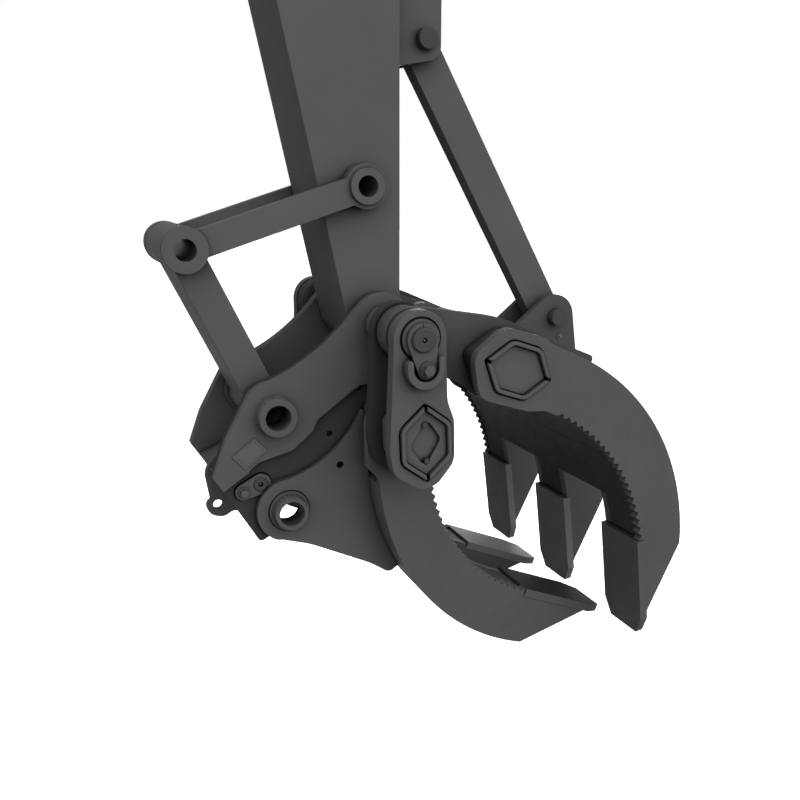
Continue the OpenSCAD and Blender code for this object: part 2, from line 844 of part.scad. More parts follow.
module diamond_2d(grow) {
    c = lower_hex;
    polygon(rounded([
        [c[0] + 2, c[1] + opening_h + grow, 18], [c[0] + opening_w + grow, c[1] + 8, 24],
        [c[0] - 1, c[1] - opening_h - grow, 18], [c[0] - opening_w - grow, c[1] - 8, 24]
    ]));
}

function access_bolt(side) = lower_hex + side * [-4, 56];

module lower_tube_covers() {
    front = cover_back + cover_t;
    color(plate_grey) at_pivot() both() difference() {
        tube_cover(lower_hex, lower_hex_turn, lower_tube_half);
        slab(-front - 1, -cover_back + 1) diamond_2d(0);
        bore(access_bolt(1), access_bolt_r + 2.5, -front, -cover_back);
        bore(access_bolt(-1), access_bolt_r + 2.5, -front, -cover_back);
    }
}

module access_covers() {
    color(plate_grey) at_pivot() both() slab(-cover_back, -cover_back + access_t) diamond_2d(12);
}

module cover_bolts() {
    color(pin_grey) at_pivot() both()
        for (side = [-1, 1]) {
            rod(access_bolt(side), access_bolt_r, -cover_back - access_bolt_h, -cover_back);
        }
}

// Outline of a lower tine: lobe round the torque tube, inner edge, point and back
wear_dir_lower = -lower_wear_fall;
lower_skin_r = lower_in_r + tooth_h - 3;
lower_wear_top = polar(lower_in_c, lower_skin_r + 19, lower_wear_at);
lower_point_back = lower_wear_top + 281 * [cos(wear_dir_lower), sin(wear_dir_lower)];
lower_back = arc(lower_out_c, lower_out_r, 252.5, 180, 30);
lower_behind = arc(lower_in_c, lower_skin_r + skin_t, 186, lower_skin_end, 10);

function lower_lobe() = rounded([
    [-93, -430, 0], [-96, -262, 70], [12, -186, 60], [112, -240, 60],
    [126, -380, 60], [142, -440, 0], [60, -600, 0]
]);

module lower_skin_2d() {
    polygon(concat(arc(lower_in_c, lower_skin_r, lower_skin_end, 186, 12), lower_behind));
}

module lower_plate_2d(inner) {
    polygon(concat(
        inner,
        [lower_wear_top, lower_point_back],
        lower_back,
        [[118, -400]]));
    polygon(lower_lobe());
}

function lower_toothed_edge() = concat(
    [polar(lower_in_c, lower_in_r, 184)],
    toothed(lower_in_c, lower_in_r, lower_in_r + tooth_h,
            lower_teeth_end, lower_wear_at - tooth_start, lower_teeth));

function lower_plain_edge() = concat(
    lower_behind,
    arc(lower_in_c, lower_skin_r, lower_skin_end, lower_wear_at - tooth_start, 12));

module lower_plate(y0, y1, inner) {
    difference() {
        slab(y0, y1) lower_plate_2d(inner);
        hex_hole(lower_hex, lower_hex_turn, y0, y1);
    }
}

// Plate with a plain inner edge, cut where the inner skin passes in front of it
module lower_plain_plate(y0, y1) {
    difference() {
        lower_plate(y0, y1, lower_plain_edge());
        slab(y0 - 1, y1 + 1) lower_skin_2d();
    }
}

module lower_outer_plate() {
    lower_plate(-fork_at, -fork_at + tooth_plate_t, lower_toothed_edge());
}

module lower_outer_plate_near() {
    color(plate_grey) at_pivot() lower_outer_plate();
}

module lower_outer_plate_far() {
    color(plate_grey) at_pivot() far() lower_outer_plate();
}

module lower_inner_plates() {
    color(plate_grey) at_pivot() both()
        lower_plain_plate(-lower_plain_at - plain_plate_t, -lower_plain_at);
}

// Concave skin in front of the lower tines, with a tongue down each tine
module lower_inner_skin() {
    inside = fork_at - tooth_plate_t;
    r = lower_skin_r;
    color(plate_grey) at_pivot() {
        slab(-inside, inside) lower_skin_2d();
        both() slab(-inside, -lower_plain_at - plain_plate_t) polygon(concat(
            arc(lower_in_c, r, lower_skin_end, lower_wear_at - tooth_start, 14),
            arc(lower_in_c, r + skin_t, lower_wear_at - tooth_start, lower_skin_end, 14)));
    }
}

// Skins that close the backs of the two lower tines
module lower_back_skins() {
    last = 28;
    tail = lower_point_back;
    heel = lower_back[0];
    inset = skin_t * (tail - heel) / norm(tail - heel);
    inner = 1 - skin_t / lower_out_r;
    color(plate_grey) at_pivot() both()
        slab(-fork_at + tooth_plate_t, -lower_plain_at - plain_plate_t) polygon(concat(
            [for (i = [last:-1:0]) lower_back[i]],
            [tail],
            [tail + turn(inset, 90) - 3 * inset],
            [heel + turn(inset, 90)],
            [for (i = [1:last]) lower_out_c + (lower_back[i] - lower_out_c) * inner]));
}

module lower_wear_plate(y_mid) {
    color(frame_grey) at_pivot() wear_plate(lower_wear_top, wear_dir_lower, y_mid);
}

module lower_wear_plate_near() {
    lower_wear_plate(-lower_at);
}

module lower_wear_plate_far() {
    lower_wear_plate(lower_at);
}

// Ear plate from the rear pin to the torque tube and the backs of the tines
module ear_plate() {
    edge = lower_hex[0] - 20;
    top_c = [-405, -108];
    top_r = 370;
    difference() {
        union() {
            difference() {
                slab(-ear_out, -ear_in) difference() {
                    polygon(concat(
                        arc(rear_pin, rear_end_r, 97, 246, 20),
                        rounded([
                            [-343, -667, 0], [-255, -696, 300], [-51, -799, 200],
                            [18, -846, 24], [66, -816, 0]
                        ]),
                        [[80, -780], [60, -400], [edge, lower_hex[1] - 80], [edge, lower_hex[1] + 20]],
                        arc(top_c, top_r, -26, -78, 14)));
                    polygon(concat([lower_out_c], lower_back));
                }
                rod(rear_pin, ear_ring_r + ear_groove, -ear_out - 1, -ear_out + groove_depth);
                bore([-149, -443], ear_hole_r, -ear_out, -ear_in);
            }
            rod(rear_pin, ear_ring_r, -ear_out - ear_ring_h, -ear_in);
            rod(rear_pin, ear_boss_r, -ear_out - ear_boss_h, -ear_in);
        }
        bore(rear_pin, boss_bore_d / 2, -ear_out - ear_boss_h, -ear_in);
        hex_hole(lower_hex, lower_hex_turn, -ear_out, -ear_in);
    }
}

module ear_plate_near() {
    color(plate_grey) at_pivot() ear_plate();
}

module ear_plate_far() {
    color(plate_grey) at_pivot() far() ear_plate();
}

// Upper edge that the coupler's plates share, from the hub to the rear tip
top_hollow_c = [-604, 461];
top_hollow_r = 659;

function coupler_top() = concat(
    arc(pivot, coupler_hub_r, -40, 142, 22),
    arc(top_hollow_c, top_hollow_r, -40, -68, 14),
    arc([coupler_pin[0] - 14, coupler_pin[1] + 24], coupler_ear_r, 92, 150, 8),
    [[-510, -326], [-551, -436], [-522, -482]]);

// Inner plate of the coupler, which the cheek and the ear plate lie against
module coupler_plate() {
    difference() {
        union() {
            slab(-coupler_mid, -coupler_in) polygon(concat(
                coupler_top(),
                rounded([
                    [-511, -499, 0], [-410, -673, 14], [-330, -629, 60], [-180, -600, 60],
                    [0, -425, 0], [20, -110, 0]
                ])));
            rod(coupler_pin, inner_boss_r, -coupler_in, -link_half - side_gap);
            rod(pivot, inner_boss_r, -coupler_in, -stick_half - side_gap);
        }
        bore(pivot, stick_pin_d / 2, -coupler_mid, -stick_half);
        bore(coupler_pin, boss_bore_d / 2, -coupler_mid, -link_half);
        bore(rear_pin, boss_bore_d / 2 + 2, -coupler_mid, -coupler_in);
        bore(lock_at, lock_pin_d / 2, -coupler_mid, -coupler_in);
        bore([-175, -342], 10, -coupler_mid, -coupler_in);
        bore([-75, -201], 10, -coupler_mid, -coupler_in);
        hex_hole(lower_hex, lower_hex_turn, -coupler_mid, -coupler_in);
        slab(-coupler_mid - 1, -coupler_mid + groove_depth) lock_keeper_groove_2d();
    }
}

module coupler_plate_near() {
    color(frame_grey) at_pivot() coupler_plate();
}

module coupler_plate_far() {
    color(frame_grey) at_pivot() far() coupler_plate();
}

// Outer cheek of the coupler with its bosses
module coupler_cheek() {
    difference() {
        union() {
            slab(-coupler_out, -coupler_mid) polygon(concat(
                coupler_top(),
                rounded([
                    [-466, -446, 30], [-412, -402, 40], [-304, -376, 40], [-237, -322, 30],
                    [-220, -286, 30], [-84, -190, 20], [10, -180, 60], [60, -100, 0]
                ])));
            rod(coupler_pin, boss_r, -boss_out, -coupler_out);
            rod(pivot, boss_r, -fork_at, -coupler_out);
        }
        bore(coupler_pin, boss_bore_d / 2, -boss_out, -coupler_mid);
        bore(pivot, stick_pin_d / 2, -fork_at, -coupler_mid);
    }
}

module coupler_cheek_near() {
    color(plate_grey) at_pivot() coupler_cheek();
}

module coupler_cheek_far() {
    color(plate_grey) at_pivot() far() coupler_cheek();
}

// Bent plate that ties the coupler's two sides together, on both sides of the lifting eye
module coupler_cross_member() {
    color(frame_grey) at_pivot() both()
        slab(-coupler_in, -eye_t / 2) polygon(rounded([
            [-526, -470, 0], [-392, -415, 30], [-300, -398, 0],
            [-296, -426, 0], [-392, -446, 30], [-510, -496, 0]
        ]));
}

// Bare name plate with its rivets
module name_plate() {
    corners = [[-492, -373], [-422, -322], [-384, -365], [-452, -420]];
    mid = (corners[0] + corners[2]) / 2;
    color(plate_grey) at_pivot() {
        slab(-coupler_out - 3, -coupler_out) polygon(corners);
        for (p = corners) {
            rod(mid + 0.75 * (p - mid), 3.5, -coupler_out - 5, -coupler_out - 3);
        }
    }
}

// Plate with the lifting hole, carried by the locking pin
module lifting_eye() {
    hole = [-504, -597];
    color(plate_grey) at_pivot() difference() {
        slab(-eye_t / 2, eye_t / 2) polygon(concat(
            arc([-443, -506], 98, 60, 172, 16),
            rounded([
                [-547, -588, 30], [-530, -632, 40], [-482, -644, 40], [-455, -624, 30],
                [-400, -640, 40], [-360, -560, 30], [-345, -470, 30]
            ])));
        bore(hole, 16, -eye_t / 2, eye_t / 2);
        bore(lock_at, lock_pin_d / 2, -eye_t / 2, eye_t / 2);
    }
}

module lock_pin() {
    y = coupler_mid + lock_keeper_t + 5;
    color(pin_grey) at_pivot() greased_pin(lock_at, lock_pin_d / 2, -y, y);
}

module stick_pin() {
    y = coupler_out + 30;
    color(pin_grey) at_pivot() rod(pivot, stick_pin_d / 2, -y, y);
}

module hinge_pins() {
    color(pin_grey) at_pivot() both()
        greased_pin(pivot, hinge_pin_d / 2, -hinge_keeper_out - hinge_pin_proud, -fork_at);
}

// Keepers of the hinge pins, split above the pin, and of the locking pin
module pin_keepers() {
    lock_out = coupler_mid + lock_keeper_t;
    color(plate_grey) at_pivot() both() {
        difference() {
            keeper(pivot, hinge_keeper_r, hinge_bolt_at, hinge_keeper_bolt_r, hinge_pin_d / 2,
                   -hinge_keeper_out, -hinge_boss_out);
            slab(-hinge_keeper_out - 1, -hinge_keeper_out + groove_depth)
                translate([-keeper_split / 2, 0]) square([keeper_split, 2 * hinge_keeper_r]);
        }
        difference() {
            keeper(lock_at, lock_keeper_r, lock_bolt_at, lock_keeper_bolt_r, lock_pin_d / 2,
                   -lock_out, -coupler_mid);
            bore(rear_pin, rear_end_r + 1, -lock_out, -coupler_mid);
        }
    }
}

module keeper_bolts() {
    color(pin_grey) at_pivot() both() {
        bolt_head(hinge_bolt_at, hinge_bolt_r, -hinge_keeper_out);
        bolt_head(lock_bolt_at, lock_bolt_r, -coupler_mid - lock_keeper_t);
    }
}

// Bars bent round the keepers' bolts, with rounded ends
module bolt_guards() {
    c = [6, -85];
    out_r = 58;
    in_c = [6, -81];
    in_r = 39;
    end_r = (out_r - in_r) / 2;
    left_end = [c[0] - out_r + end_r, -66];
    right_end = [c[0] + out_r - end_r, -59];
    color(plate_grey) at_pivot() both()
        slab(-fork_outer_out - guard_h, -fork_outer_out) polygon(concat(
            arc(c, out_r, 180, 360, 24),
            arc(right_end, end_r, 0, 180, 8),
            arc(in_c, in_r, 360, 180, 24),
            arc(left_end, end_r, 0, 180, 8)));
}

// Spacers and washers on both sides of each upper arm's hub
module hinge_washers() {
    color(pin_grey) at_pivot() both() {
        difference() {
            rod(pivot, arm_hub_r - 3, -fork_outer_in, -hub_out - side_gap);
            bore(pivot, hinge_pin_d / 2, -fork_outer_in, -hub_out);
        }
        difference() {
            rod(pivot, arm_hub_r - 5, -fork_inner_out - arm_washer_t, -fork_inner_out);
            bore(pivot, hinge_pin_d / 2, -fork_inner_out - arm_washer_t, -fork_inner_out);
        }
    }
}

// The two bars of the tipping link, one on each side of the stick
module tipping_link_bars() {
    lie = heading(link_hinge - link_pivot);
    lean = asin(bar_w / 2 / bar_end_r);
    color(frame_grey) at_pivot() both() difference() {
        union() {
            slab(-bar_out, -bar_in) polygon(concat(
                arc(link_pivot, bar_end_r, lie + lean, lie + 360 - lean, 26),
                arc(link_hinge, bar_end_r, lie - 180 + lean, lie + 180 - lean, 26)));
            rod(link_pivot, pivot_ring_r, -bar_out - bar_ring, -bar_out);
            rod(link_hinge, bar_end_r - 1, -bar_out - bar_ring, -bar_out);
        }
        for (p = [link_pivot, link_hinge]) {
            bore(p, hollow_pin_bore / 2, -bar_out - bar_ring, -bar_in);
            rod(p, hollow_pin_d / 2, -bar_out, -bar_in + 1);
        }
    }
}

module hollow_pin(at) {
    y = bar_out;
    difference() {
        rod(at, hollow_pin_d / 2, -y, y);
        bore(at, hollow_pin_bore / 2, -y, y);
    }
}

module link_pins() {
    color(pin_grey) at_pivot() {
        hollow_pin(link_pivot);
        hollow_pin(link_hinge);
    }
}

// Link between the tipping link and the coupler
module bucket_link() {
    lie = heading(coupler_pin - link_hinge);
    lean_top = asin(link_w / 2 / (bar_end_r - 1));
    lean_foot = asin(link_w / 2 / link_foot_r);
    color(frame_grey) at_pivot() difference() {
        slab(-link_half, link_half) polygon(concat(
            arc(link_hinge, bar_end_r - 1, lie + lean_top, lie + 360 - lean_top, 26),
            arc(coupler_pin, link_foot_r, lie - 180 + lean_foot, lie + 180 - lean_foot, 26)));
        bore(link_hinge, hollow_pin_d / 2 + pin_fit, -link_half, link_half);
        bore(coupler_pin, boss_bore_d / 2, -link_half, link_half);
    }
}

stick();
bracket_lug_near();
bracket_lug_far();
strut();
strut_pins();
strut_spacers();
upper_tube_top();
upper_tube_bottom();
upper_tube_covers();
upper_collars();
upper_arm_near();
upper_arm_far();
upper_outer_plate_near();
upper_outer_plate_far();
upper_inner_plates();
upper_middle_plates();
upper_inner_skin();
upper_back_skins();
upper_wear_plate_near();
upper_wear_plate_middle();
upper_wear_plate_far();
strut_lug_near();
strut_lug_far();
fork_outer_near();
fork_outer_far();
fork_inner_near();
fork_inner_far();
lower_tube_front();
lower_tube_rear();
lower_tube_covers();
access_covers();
cover_bolts();
lower_outer_plate_near();
lower_outer_plate_far();
lower_inner_plates();
lower_inner_skin();
lower_back_skins();
lower_wear_plate_near();
lower_wear_plate_far();
ear_plate_near();
ear_plate_far();
coupler_plate_near();
coupler_plate_far();
coupler_cheek_near();
coupler_cheek_far();
coupler_cross_member();
lifting_eye();
lock_pin();
stick_pin();
hinge_pins();
pin_keepers();
keeper_bolts();
bolt_guards();
hinge_washers();
name_plate();
tipping_link_bars();
link_pins();
bucket_link();
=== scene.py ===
"""Demolition grapple on an excavator stick end: finishes, small trim, studio and camera."""
import math

import bmesh
import bpy
from bpy.props import FloatProperty, FloatVectorProperty, PointerProperty
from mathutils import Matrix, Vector


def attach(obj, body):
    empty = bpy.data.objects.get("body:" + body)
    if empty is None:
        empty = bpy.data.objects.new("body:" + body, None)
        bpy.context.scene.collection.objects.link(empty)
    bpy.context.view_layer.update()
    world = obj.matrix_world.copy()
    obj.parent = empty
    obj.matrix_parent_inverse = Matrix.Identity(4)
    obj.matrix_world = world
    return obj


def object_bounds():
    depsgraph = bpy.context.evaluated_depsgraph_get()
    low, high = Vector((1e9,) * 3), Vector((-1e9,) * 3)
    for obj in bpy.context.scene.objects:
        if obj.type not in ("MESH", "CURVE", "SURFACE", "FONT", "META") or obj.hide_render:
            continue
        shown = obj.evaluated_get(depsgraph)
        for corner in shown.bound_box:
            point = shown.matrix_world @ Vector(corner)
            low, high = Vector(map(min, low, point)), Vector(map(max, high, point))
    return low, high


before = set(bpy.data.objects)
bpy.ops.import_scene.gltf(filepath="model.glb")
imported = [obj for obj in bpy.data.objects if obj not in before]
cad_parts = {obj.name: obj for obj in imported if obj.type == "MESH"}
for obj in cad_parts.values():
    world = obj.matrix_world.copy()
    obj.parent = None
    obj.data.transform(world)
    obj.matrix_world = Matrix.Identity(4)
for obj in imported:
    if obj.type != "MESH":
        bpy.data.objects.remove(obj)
CAD_BOX = [list(corner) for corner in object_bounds()]

bl_info = {
    "name": "Demolition Grapple",
    "version": (1, 0, 0),
    "blender": (4, 5, 0),
    "location": "View3D > Sidebar > Grapple",
    "description": "Finishes, weld beads, small trim and studio for a demolition grapple",
    "category": "Object",
}

# The grapple's own measures, in metres, repeated from its source. Y runs along the pins, and
# [across, up] places are measured from the main pivot.
PIVOT = Vector((0.1245, 0.0, -1.150))
MAIN_PIN = (0.0, 0.0)
COUPLER_PIN = (-0.354, -0.258)
REAR_PIN = (-0.320, -0.571)
LOCK_PIN = (-0.404, -0.477)
LINK_JOINT = (-0.59018, 0.24313)
STRUT_TOP = (0.200, 0.860)
LUG_HOLE = (0.743, -0.111)
NAME_PLATE = ((-0.492, -0.373), (-0.422, -0.322), (-0.384, -0.365), (-0.452, -0.420))

# How far outer faces and pin ends lie from the middle, along the pins
MAIN_PIN_END = 0.513
LOCK_PIN_END = 0.187
LUG_OUT = 0.080
CHEEK_OUT = 0.216
BOSS_OUT = 0.257
REAR_BOSS_OUT = 0.254
NAME_PLATE_OUT = 0.219

# Radii of bosses, bores and the link's tube, and the stick's front face
BOSS_R = 0.058
REAR_BOSS_R = 0.052
BORE_R = 0.040
STRUT_BOSS_R = 0.033
LINK_TUBE_R = 0.0657
STICK_FRONT = 0.088

# Weld beads: the bracket's seam from low to high, and how finely a bead is laid
BRACKET_SEAM = (0.776, 1.098)
BEAD_STEP = 0.0015
BEAD_SIDES = 7
BEAD_RIPPLE = 0.30
SMALL_BEAD = 0.8

# Grease nipples: sizes, and on a boss how far along the pin and at what angle in degrees
MAIN_NIPPLE = 1.6
LOCK_NIPPLE = 1.5
LUG_NIPPLE = 1.3
BOSS_NIPPLE = 0.7
COUPLER_NIPPLE_AT = (0.239, 122.4)
REAR_NIPPLE_AT = (0.2335, 107.7)
LINK_NIPPLE_ALONG = -0.138
LINK_NIPPLE_ANGLES = (150.0, 98.0)
NIPPLE_SINK = 0.0004
LUG_CAP = ((0.0, 0.0095), (0.0030, 0.0095), (0.0036, 0.0085), (0.0036, 0.0062), (0.0010, 0.0060))
LUG_CAP_SIDES = 48
LUG_CAP_TEETH = 24
LUG_CAP_NOTCH = 0.0016

# Seals: how deep they lie in the bores. Rim: its radius, and its points along each side
COUPLER_SEALS = (0.020, 0.046)
REAR_SEALS = (0.010, 0.018)
SEAL_STEP = 0.004
RIM_R = 0.0011
RIM_POINTS = (0.04, 0.5, 0.96)

# Joining and rounding of the solids, in metres and degrees
JOIN_GAP = 0.00002
FLAT_ANGLE = 0.2
EDGE_ANGLE = 38.0
SMOOTH_ANGLE = 40.0

# How far the painted shade looks for neighbours, in metres, and how dark it leaves the paint there
GROOVE_REACH = 0.021
HOLLOW_REACH = 0.11
LEAST_GROOVE = 0.10
LEAST_HOLLOW = 0.42

# Way that the near lower wear plate's top face is turned, and how dark the shadow painted on it is
PAINTED_SHADOW_WAY = (0.42, 0.0, 0.91)
PAINTED_SHADOW_SHADE = 0.27

# How much lighter than their base colour three finishes are: painted light on three wear plates, the
# zinc's own colour, and painted light on the link pins and keeper bolts
WEAR_PLATE_PAINTED_LIGHT = 1.70
ZINC_LIFT = 3.0
PIN_PAINTED_LIGHT = 1.55

# Camera, with its lens in millimetres, and the lamps' places and sizes in metres
LENS = 38.25
CAMERA_PLACE = (-0.9804, -2.6581, 0.4237)
CAMERA_AIM = (0.3793, 0.8919, -0.2463)
LAMP_TARGET = (0.2, 0.0, -1.2)
KEY_PLACE = (0.9, -4.6, 1.2)
KEY_SIZE = (3.2, 3.2)
FILL_PLACE = (2.7, 4.3, -0.6)
FILL_SIZE = (3.0, 2.6)
SIDE_PLACE = (-4.3, -1.6, -1.0)
SIDE_SIZE = (3.0, 3.0)

# Floor's half width in metres, its glow to the camera, and the dome's weakest light
FLOOR_HALF = 40.0
FLOOR_GLOW = 0.50
DOME_LEAST = 0.02

STICK_BODY = "stick_and_upper_jaw"
JAW_BODY = "lower_jaw"
LINK_BODY = "bucket_link"

STICK_NODES = ("stick", "strut", "bracket_lug_near", "bracket_lug_far")
PIN_NODES = (
    "strut_pins", "strut_spacers", "stick_pin", "hinge_pins", "lock_pin", "cover_bolts",
    "hinge_washers",
)
# Pins painted lighter than the others, as painted light
PAINTED_LIGHT_PIN_NODES = ("link_pins", "keeper_bolts")
# The near lower wear plate, with a painted shadow on its top face
PAINTED_SHADOW_NODES = ("lower_wear_plate_near",)
WEAR_NODES = (
    "upper_wear_plate_near", "upper_outer_plate_near", "upper_outer_plate_far",
    "upper_inner_plates", "upper_middle_plates", "lower_outer_plate_near", "lower_outer_plate_far",
    "lower_inner_plates",
)
# The next three lists get darker copies of the paint: painted shade for the shade they lie in
SKIN_NODES = ("upper_inner_skin", "lower_inner_skin")
INNER_NODES = ("upper_arm_near", "upper_arm_far", "strut_lug_near", "strut_lug_far")
RECESS_NODES = (
    "coupler_plate_near", "fork_inner_near", "fork_inner_far", "upper_collars",
)
# Wear plates painted lighter than the others, as painted light
PAINTED_LIGHT_WEAR_NODES = ("upper_wear_plate_middle", "upper_wear_plate_far", "lower_wear_plate_far")


def settings():
    """The values in the panel."""
    return bpy.context.scene.grapple


# ---------------------------------------------------------------- finishes


class NodeSheet:
    """A material's node tree, with short calls for adding and joining nodes."""

    def __init__(self, name):
        self.material = bpy.data.materials.new(name)
        self.material.use_nodes = True
        self.tree = self.material.node_tree
        self.shader = self.tree.nodes["Principled BSDF"]
        place = self.add("ShaderNodeTexCoord")
        self.place = place.outputs["Object"]

    def add(self, kind, **values):
        node = self.tree.nodes.new(kind)
        for key, value in values.items():
            setattr(node, key, value)
        return node

    def join(self, start, end):
        self.tree.links.new(start, end)

    def noise(self, scale, detail=4.0, roughness=0.55, stretch=None):
        node = self.add("ShaderNodeTexNoise")
        node.inputs["Scale"].default_value = scale
        node.inputs["Detail"].default_value = detail
        node.inputs["Roughness"].default_value = roughness
        source = self.place
        if stretch:
            mapping = self.add("ShaderNodeMapping")
            mapping.inputs["Scale"].default_value = stretch
            self.join(source, mapping.inputs["Vector"])
            source = mapping.outputs["Vector"]
        self.join(source, node.inputs["Vector"])
        return node.outputs["Fac"]

    def spread(self, value, low, high, new_low=0.0, new_high=1.0):
        """Maps low..high of a value to new_low..new_high."""
        node = self.add("ShaderNodeMapRange")
        node.inputs["From Min"].default_value = low
        node.inputs["From Max"].default_value = high
        node.inputs["To Min"].default_value = new_low
        node.inputs["To Max"].default_value = new_high
        self.join(value, node.inputs["Value"])
        return node.outputs["Result"]

    def math(self, operation, first, second):
        node = self.add("ShaderNodeMath", operation=operation)
        for socket, value in zip(node.inputs, (first, second)):
            if isinstance(value, (int, float)):
                socket.default_value = value
            else:
                self.join(value, socket)
        return node.outputs["Value"]

    def mix(self, factor, first, second, blend="MIX"):
        node = self.add("ShaderNodeMix", data_type="RGBA", blend_type=blend)
        sockets = (node.inputs[0], node.inputs[6], node.inputs[7])
        for socket, value in zip(sockets, (factor, first, second)):
            if isinstance(value, (int, float)):
                socket.default_value = value
            elif isinstance(value, (tuple, list)):
                socket.default_value = tuple(value)
            else:
                self.join(value, socket)
        return node.outputs[2]

    def bumps(self, height, strength, distance):
        node = self.add("ShaderNodeBump")
        node.inputs["Strength"].default_value = strength
        node.inputs["Distance"].default_value = distance
        self.join(height, node.inputs["Height"])
        self.join(node.outputs["Normal"], self.shader.inputs["Normal"])

    def facing(self, way):
        """1 on faces turned that way in the part's own directions, 0 on the others."""
        place = self.add("ShaderNodeTexCoord")
        dot = self.add("ShaderNodeVectorMath", operation="DOT_PRODUCT")
        dot.inputs[1].default_value = way
        self.join(place.outputs["Normal"], dot.inputs[0])
        return self.spread(dot.outputs["Value"], 0.80, 0.94)

    def worn_edges(self, radius):
        """0 on flats, towards 1 on outside and inside edges, from the rounded normal."""
        rounded = self.add("ShaderNodeBevel", samples=6)
        rounded.inputs["Radius"].default_value = radius
        flat = self.add("ShaderNodeNewGeometry")
        dot = self.add("ShaderNodeVectorMath", operation="DOT_PRODUCT")
        self.join(rounded.outputs["Normal"], dot.inputs[0])
        self.join(flat.outputs["Normal"], dot.inputs[1])
        return self.spread(dot.outputs["Value"], 0.998, 0.80)

    def shelter(self, reach):
        """1 in the open, towards 0 in grooves, corners and gaps narrower than the reach."""
        node = self.add("ShaderNodeAmbientOcclusion", samples=5)
        node.inputs["Distance"].default_value = reach
        return node.outputs["AO"]

    def painted_shade_in_corners(self, base, least=LEAST_GROOVE):
        """The base colour with painted shade: dark in grooves and lighter in wide hollows, where
        neighbours are near.
        """
        grooves = self.spread(self.shelter(GROOVE_REACH), 0.26, 0.78, least, 1.0)
        hollows = self.spread(self.shelter(HOLLOW_REACH), 0.30, 0.90, LEAST_HOLLOW, 1.0)
        return self.mix(1.0, base, self.math("MULTIPLY", grooves, hollows), "MULTIPLY")


def tone(colour, factor):
    """A colour made lighter or darker, with its alpha."""
    return tuple(min(1.0, channel * factor) for channel in colour[:3]) + (1.0,)


def paint_finish(name, colour, roughness, edge_lift=1.20, gloss=0.01):
    """Matt machine paint: faint cloudiness, fine pale specks, orange peel, rubbed edges and painted
    shade in grooves and hollows.
    """
    sheet = NodeSheet(name)
    cloud = sheet.spread(sheet.noise(2.2, 5.0, 0.6), 0.32, 0.70)
    grain = sheet.spread(sheet.noise(420.0, 2.0, 0.5), 0.3, 0.7)
    base = sheet.mix(cloud, tone(colour, 0.94), tone(colour, 1.06))
    base = sheet.mix(sheet.math("MULTIPLY", grain, 0.10), base, tone(colour, 1.25))
    scuffs = sheet.spread(sheet.noise(38.0, 6.0, 0.65), 0.50, 0.66)
    edge = sheet.math("MULTIPLY", sheet.worn_edges(0.0035), sheet.spread(scuffs, 0.0, 1.0, 0.25, 0.85))
    base = sheet.mix(edge, base, tone(colour, edge_lift))
    # Painted shade: the colour is darkened in grooves and hollows, where shade falls
    sheet.join(sheet.painted_shade_in_corners(base), sheet.shader.inputs["Base Color"])
    rough = sheet.spread(sheet.noise(14.0, 5.0, 0.6), 0.3, 0.7, roughness - 0.05, roughness + 0.06)
    sheet.join(rough, sheet.shader.inputs["Roughness"])
    sheet.shader.inputs["Specular IOR Level"].default_value = gloss
    waves = sheet.math("MULTIPLY", sheet.noise(60.0, 3.0, 0.5), 1.4)
    peel = sheet.math("ADD", sheet.noise(310.0, 3.0, 0.5), waves)
    sheet.bumps(peel, 0.10, 0.0006)
    return sheet.material


def plate_finish(name, colour, roughness, gloss=0.02, shadow_way=None):
    """Painted wear plate: rolled grain, faint scale blotches, lighter edges and, if asked, a painted
    shadow on faces turned one way.
    """
    sheet = NodeSheet(name)
    cloud = sheet.spread(sheet.noise(3.4, 6.0, 0.62), 0.34, 0.68)
    scale = sheet.spread(sheet.noise(26.0, 7.0, 0.7), 0.46, 0.64)
    base = sheet.mix(cloud, tone(colour, 0.95), tone(colour, 1.05))
    base = sheet.mix(sheet.math("MULTIPLY", scale, 0.16), base, tone(colour, 0.80))
    edge = sheet.math("MULTIPLY", sheet.worn_edges(0.0030), 0.55)
    base = sheet.mix(edge, base, tone(colour, 1.30))
    if shadow_way:
        # Painted shadow: faces turned the given way are painted dark
        base = sheet.mix(sheet.facing(shadow_way), base, tone(colour, PAINTED_SHADOW_SHADE))
    # Painted shade: the colour is darkened in grooves and hollows, where shade falls
    sheet.join(sheet.painted_shade_in_corners(base), sheet.shader.inputs["Base Color"])
    rough = sheet.spread(scale, 0.0, 1.0, roughness - 0.06, roughness + 0.08)
    sheet.join(rough, sheet.shader.inputs["Roughness"])
    sheet.shader.inputs["Specular IOR Level"].default_value = gloss
    sheet.bumps(sheet.math("ADD", sheet.noise(95.0, 6.0, 0.62), scale), 0.16, 0.0008)
    return sheet.material


def pin_finish(name, colour, roughness):
    """Turned steel under a thin coat of grease: fine rings of grain and a faint sheen."""
    sheet = NodeSheet(name)
    cloud = sheet.spread(sheet.noise(9.0, 5.0, 0.6), 0.3, 0.7)
    fine = sheet.spread(sheet.noise(240.0, 3.0, 0.5, (1.0, 3.0, 1.0)), 0.3, 0.7)
    base = sheet.mix(cloud, tone(colour, 0.90), tone(colour, 1.10))
    base = sheet.mix(sheet.math("MULTIPLY", fine, 0.18), base, tone(colour, 1.30))
    base = sheet.mix(sheet.math("MULTIPLY", sheet.worn_edges(0.0020), 0.6), base, tone(colour, 1.6))
    # Painted shade: the colour is darkened in grooves and hollows, where shade falls
    sheet.join(sheet.painted_shade_in_corners(base), sheet.shader.inputs["Base Color"])
    rough = sheet.spread(fine, 0.0, 1.0, roughness - 0.05, roughness + 0.08)
    sheet.join(rough, sheet.shader.inputs["Roughness"])
    sheet.shader.inputs["Metallic"].default_value = 0.03
    sheet.shader.inputs["Specular IOR Level"].default_value = 0.04
    sheet.bumps(fine, 0.10, 0.0004)
    return sheet.material


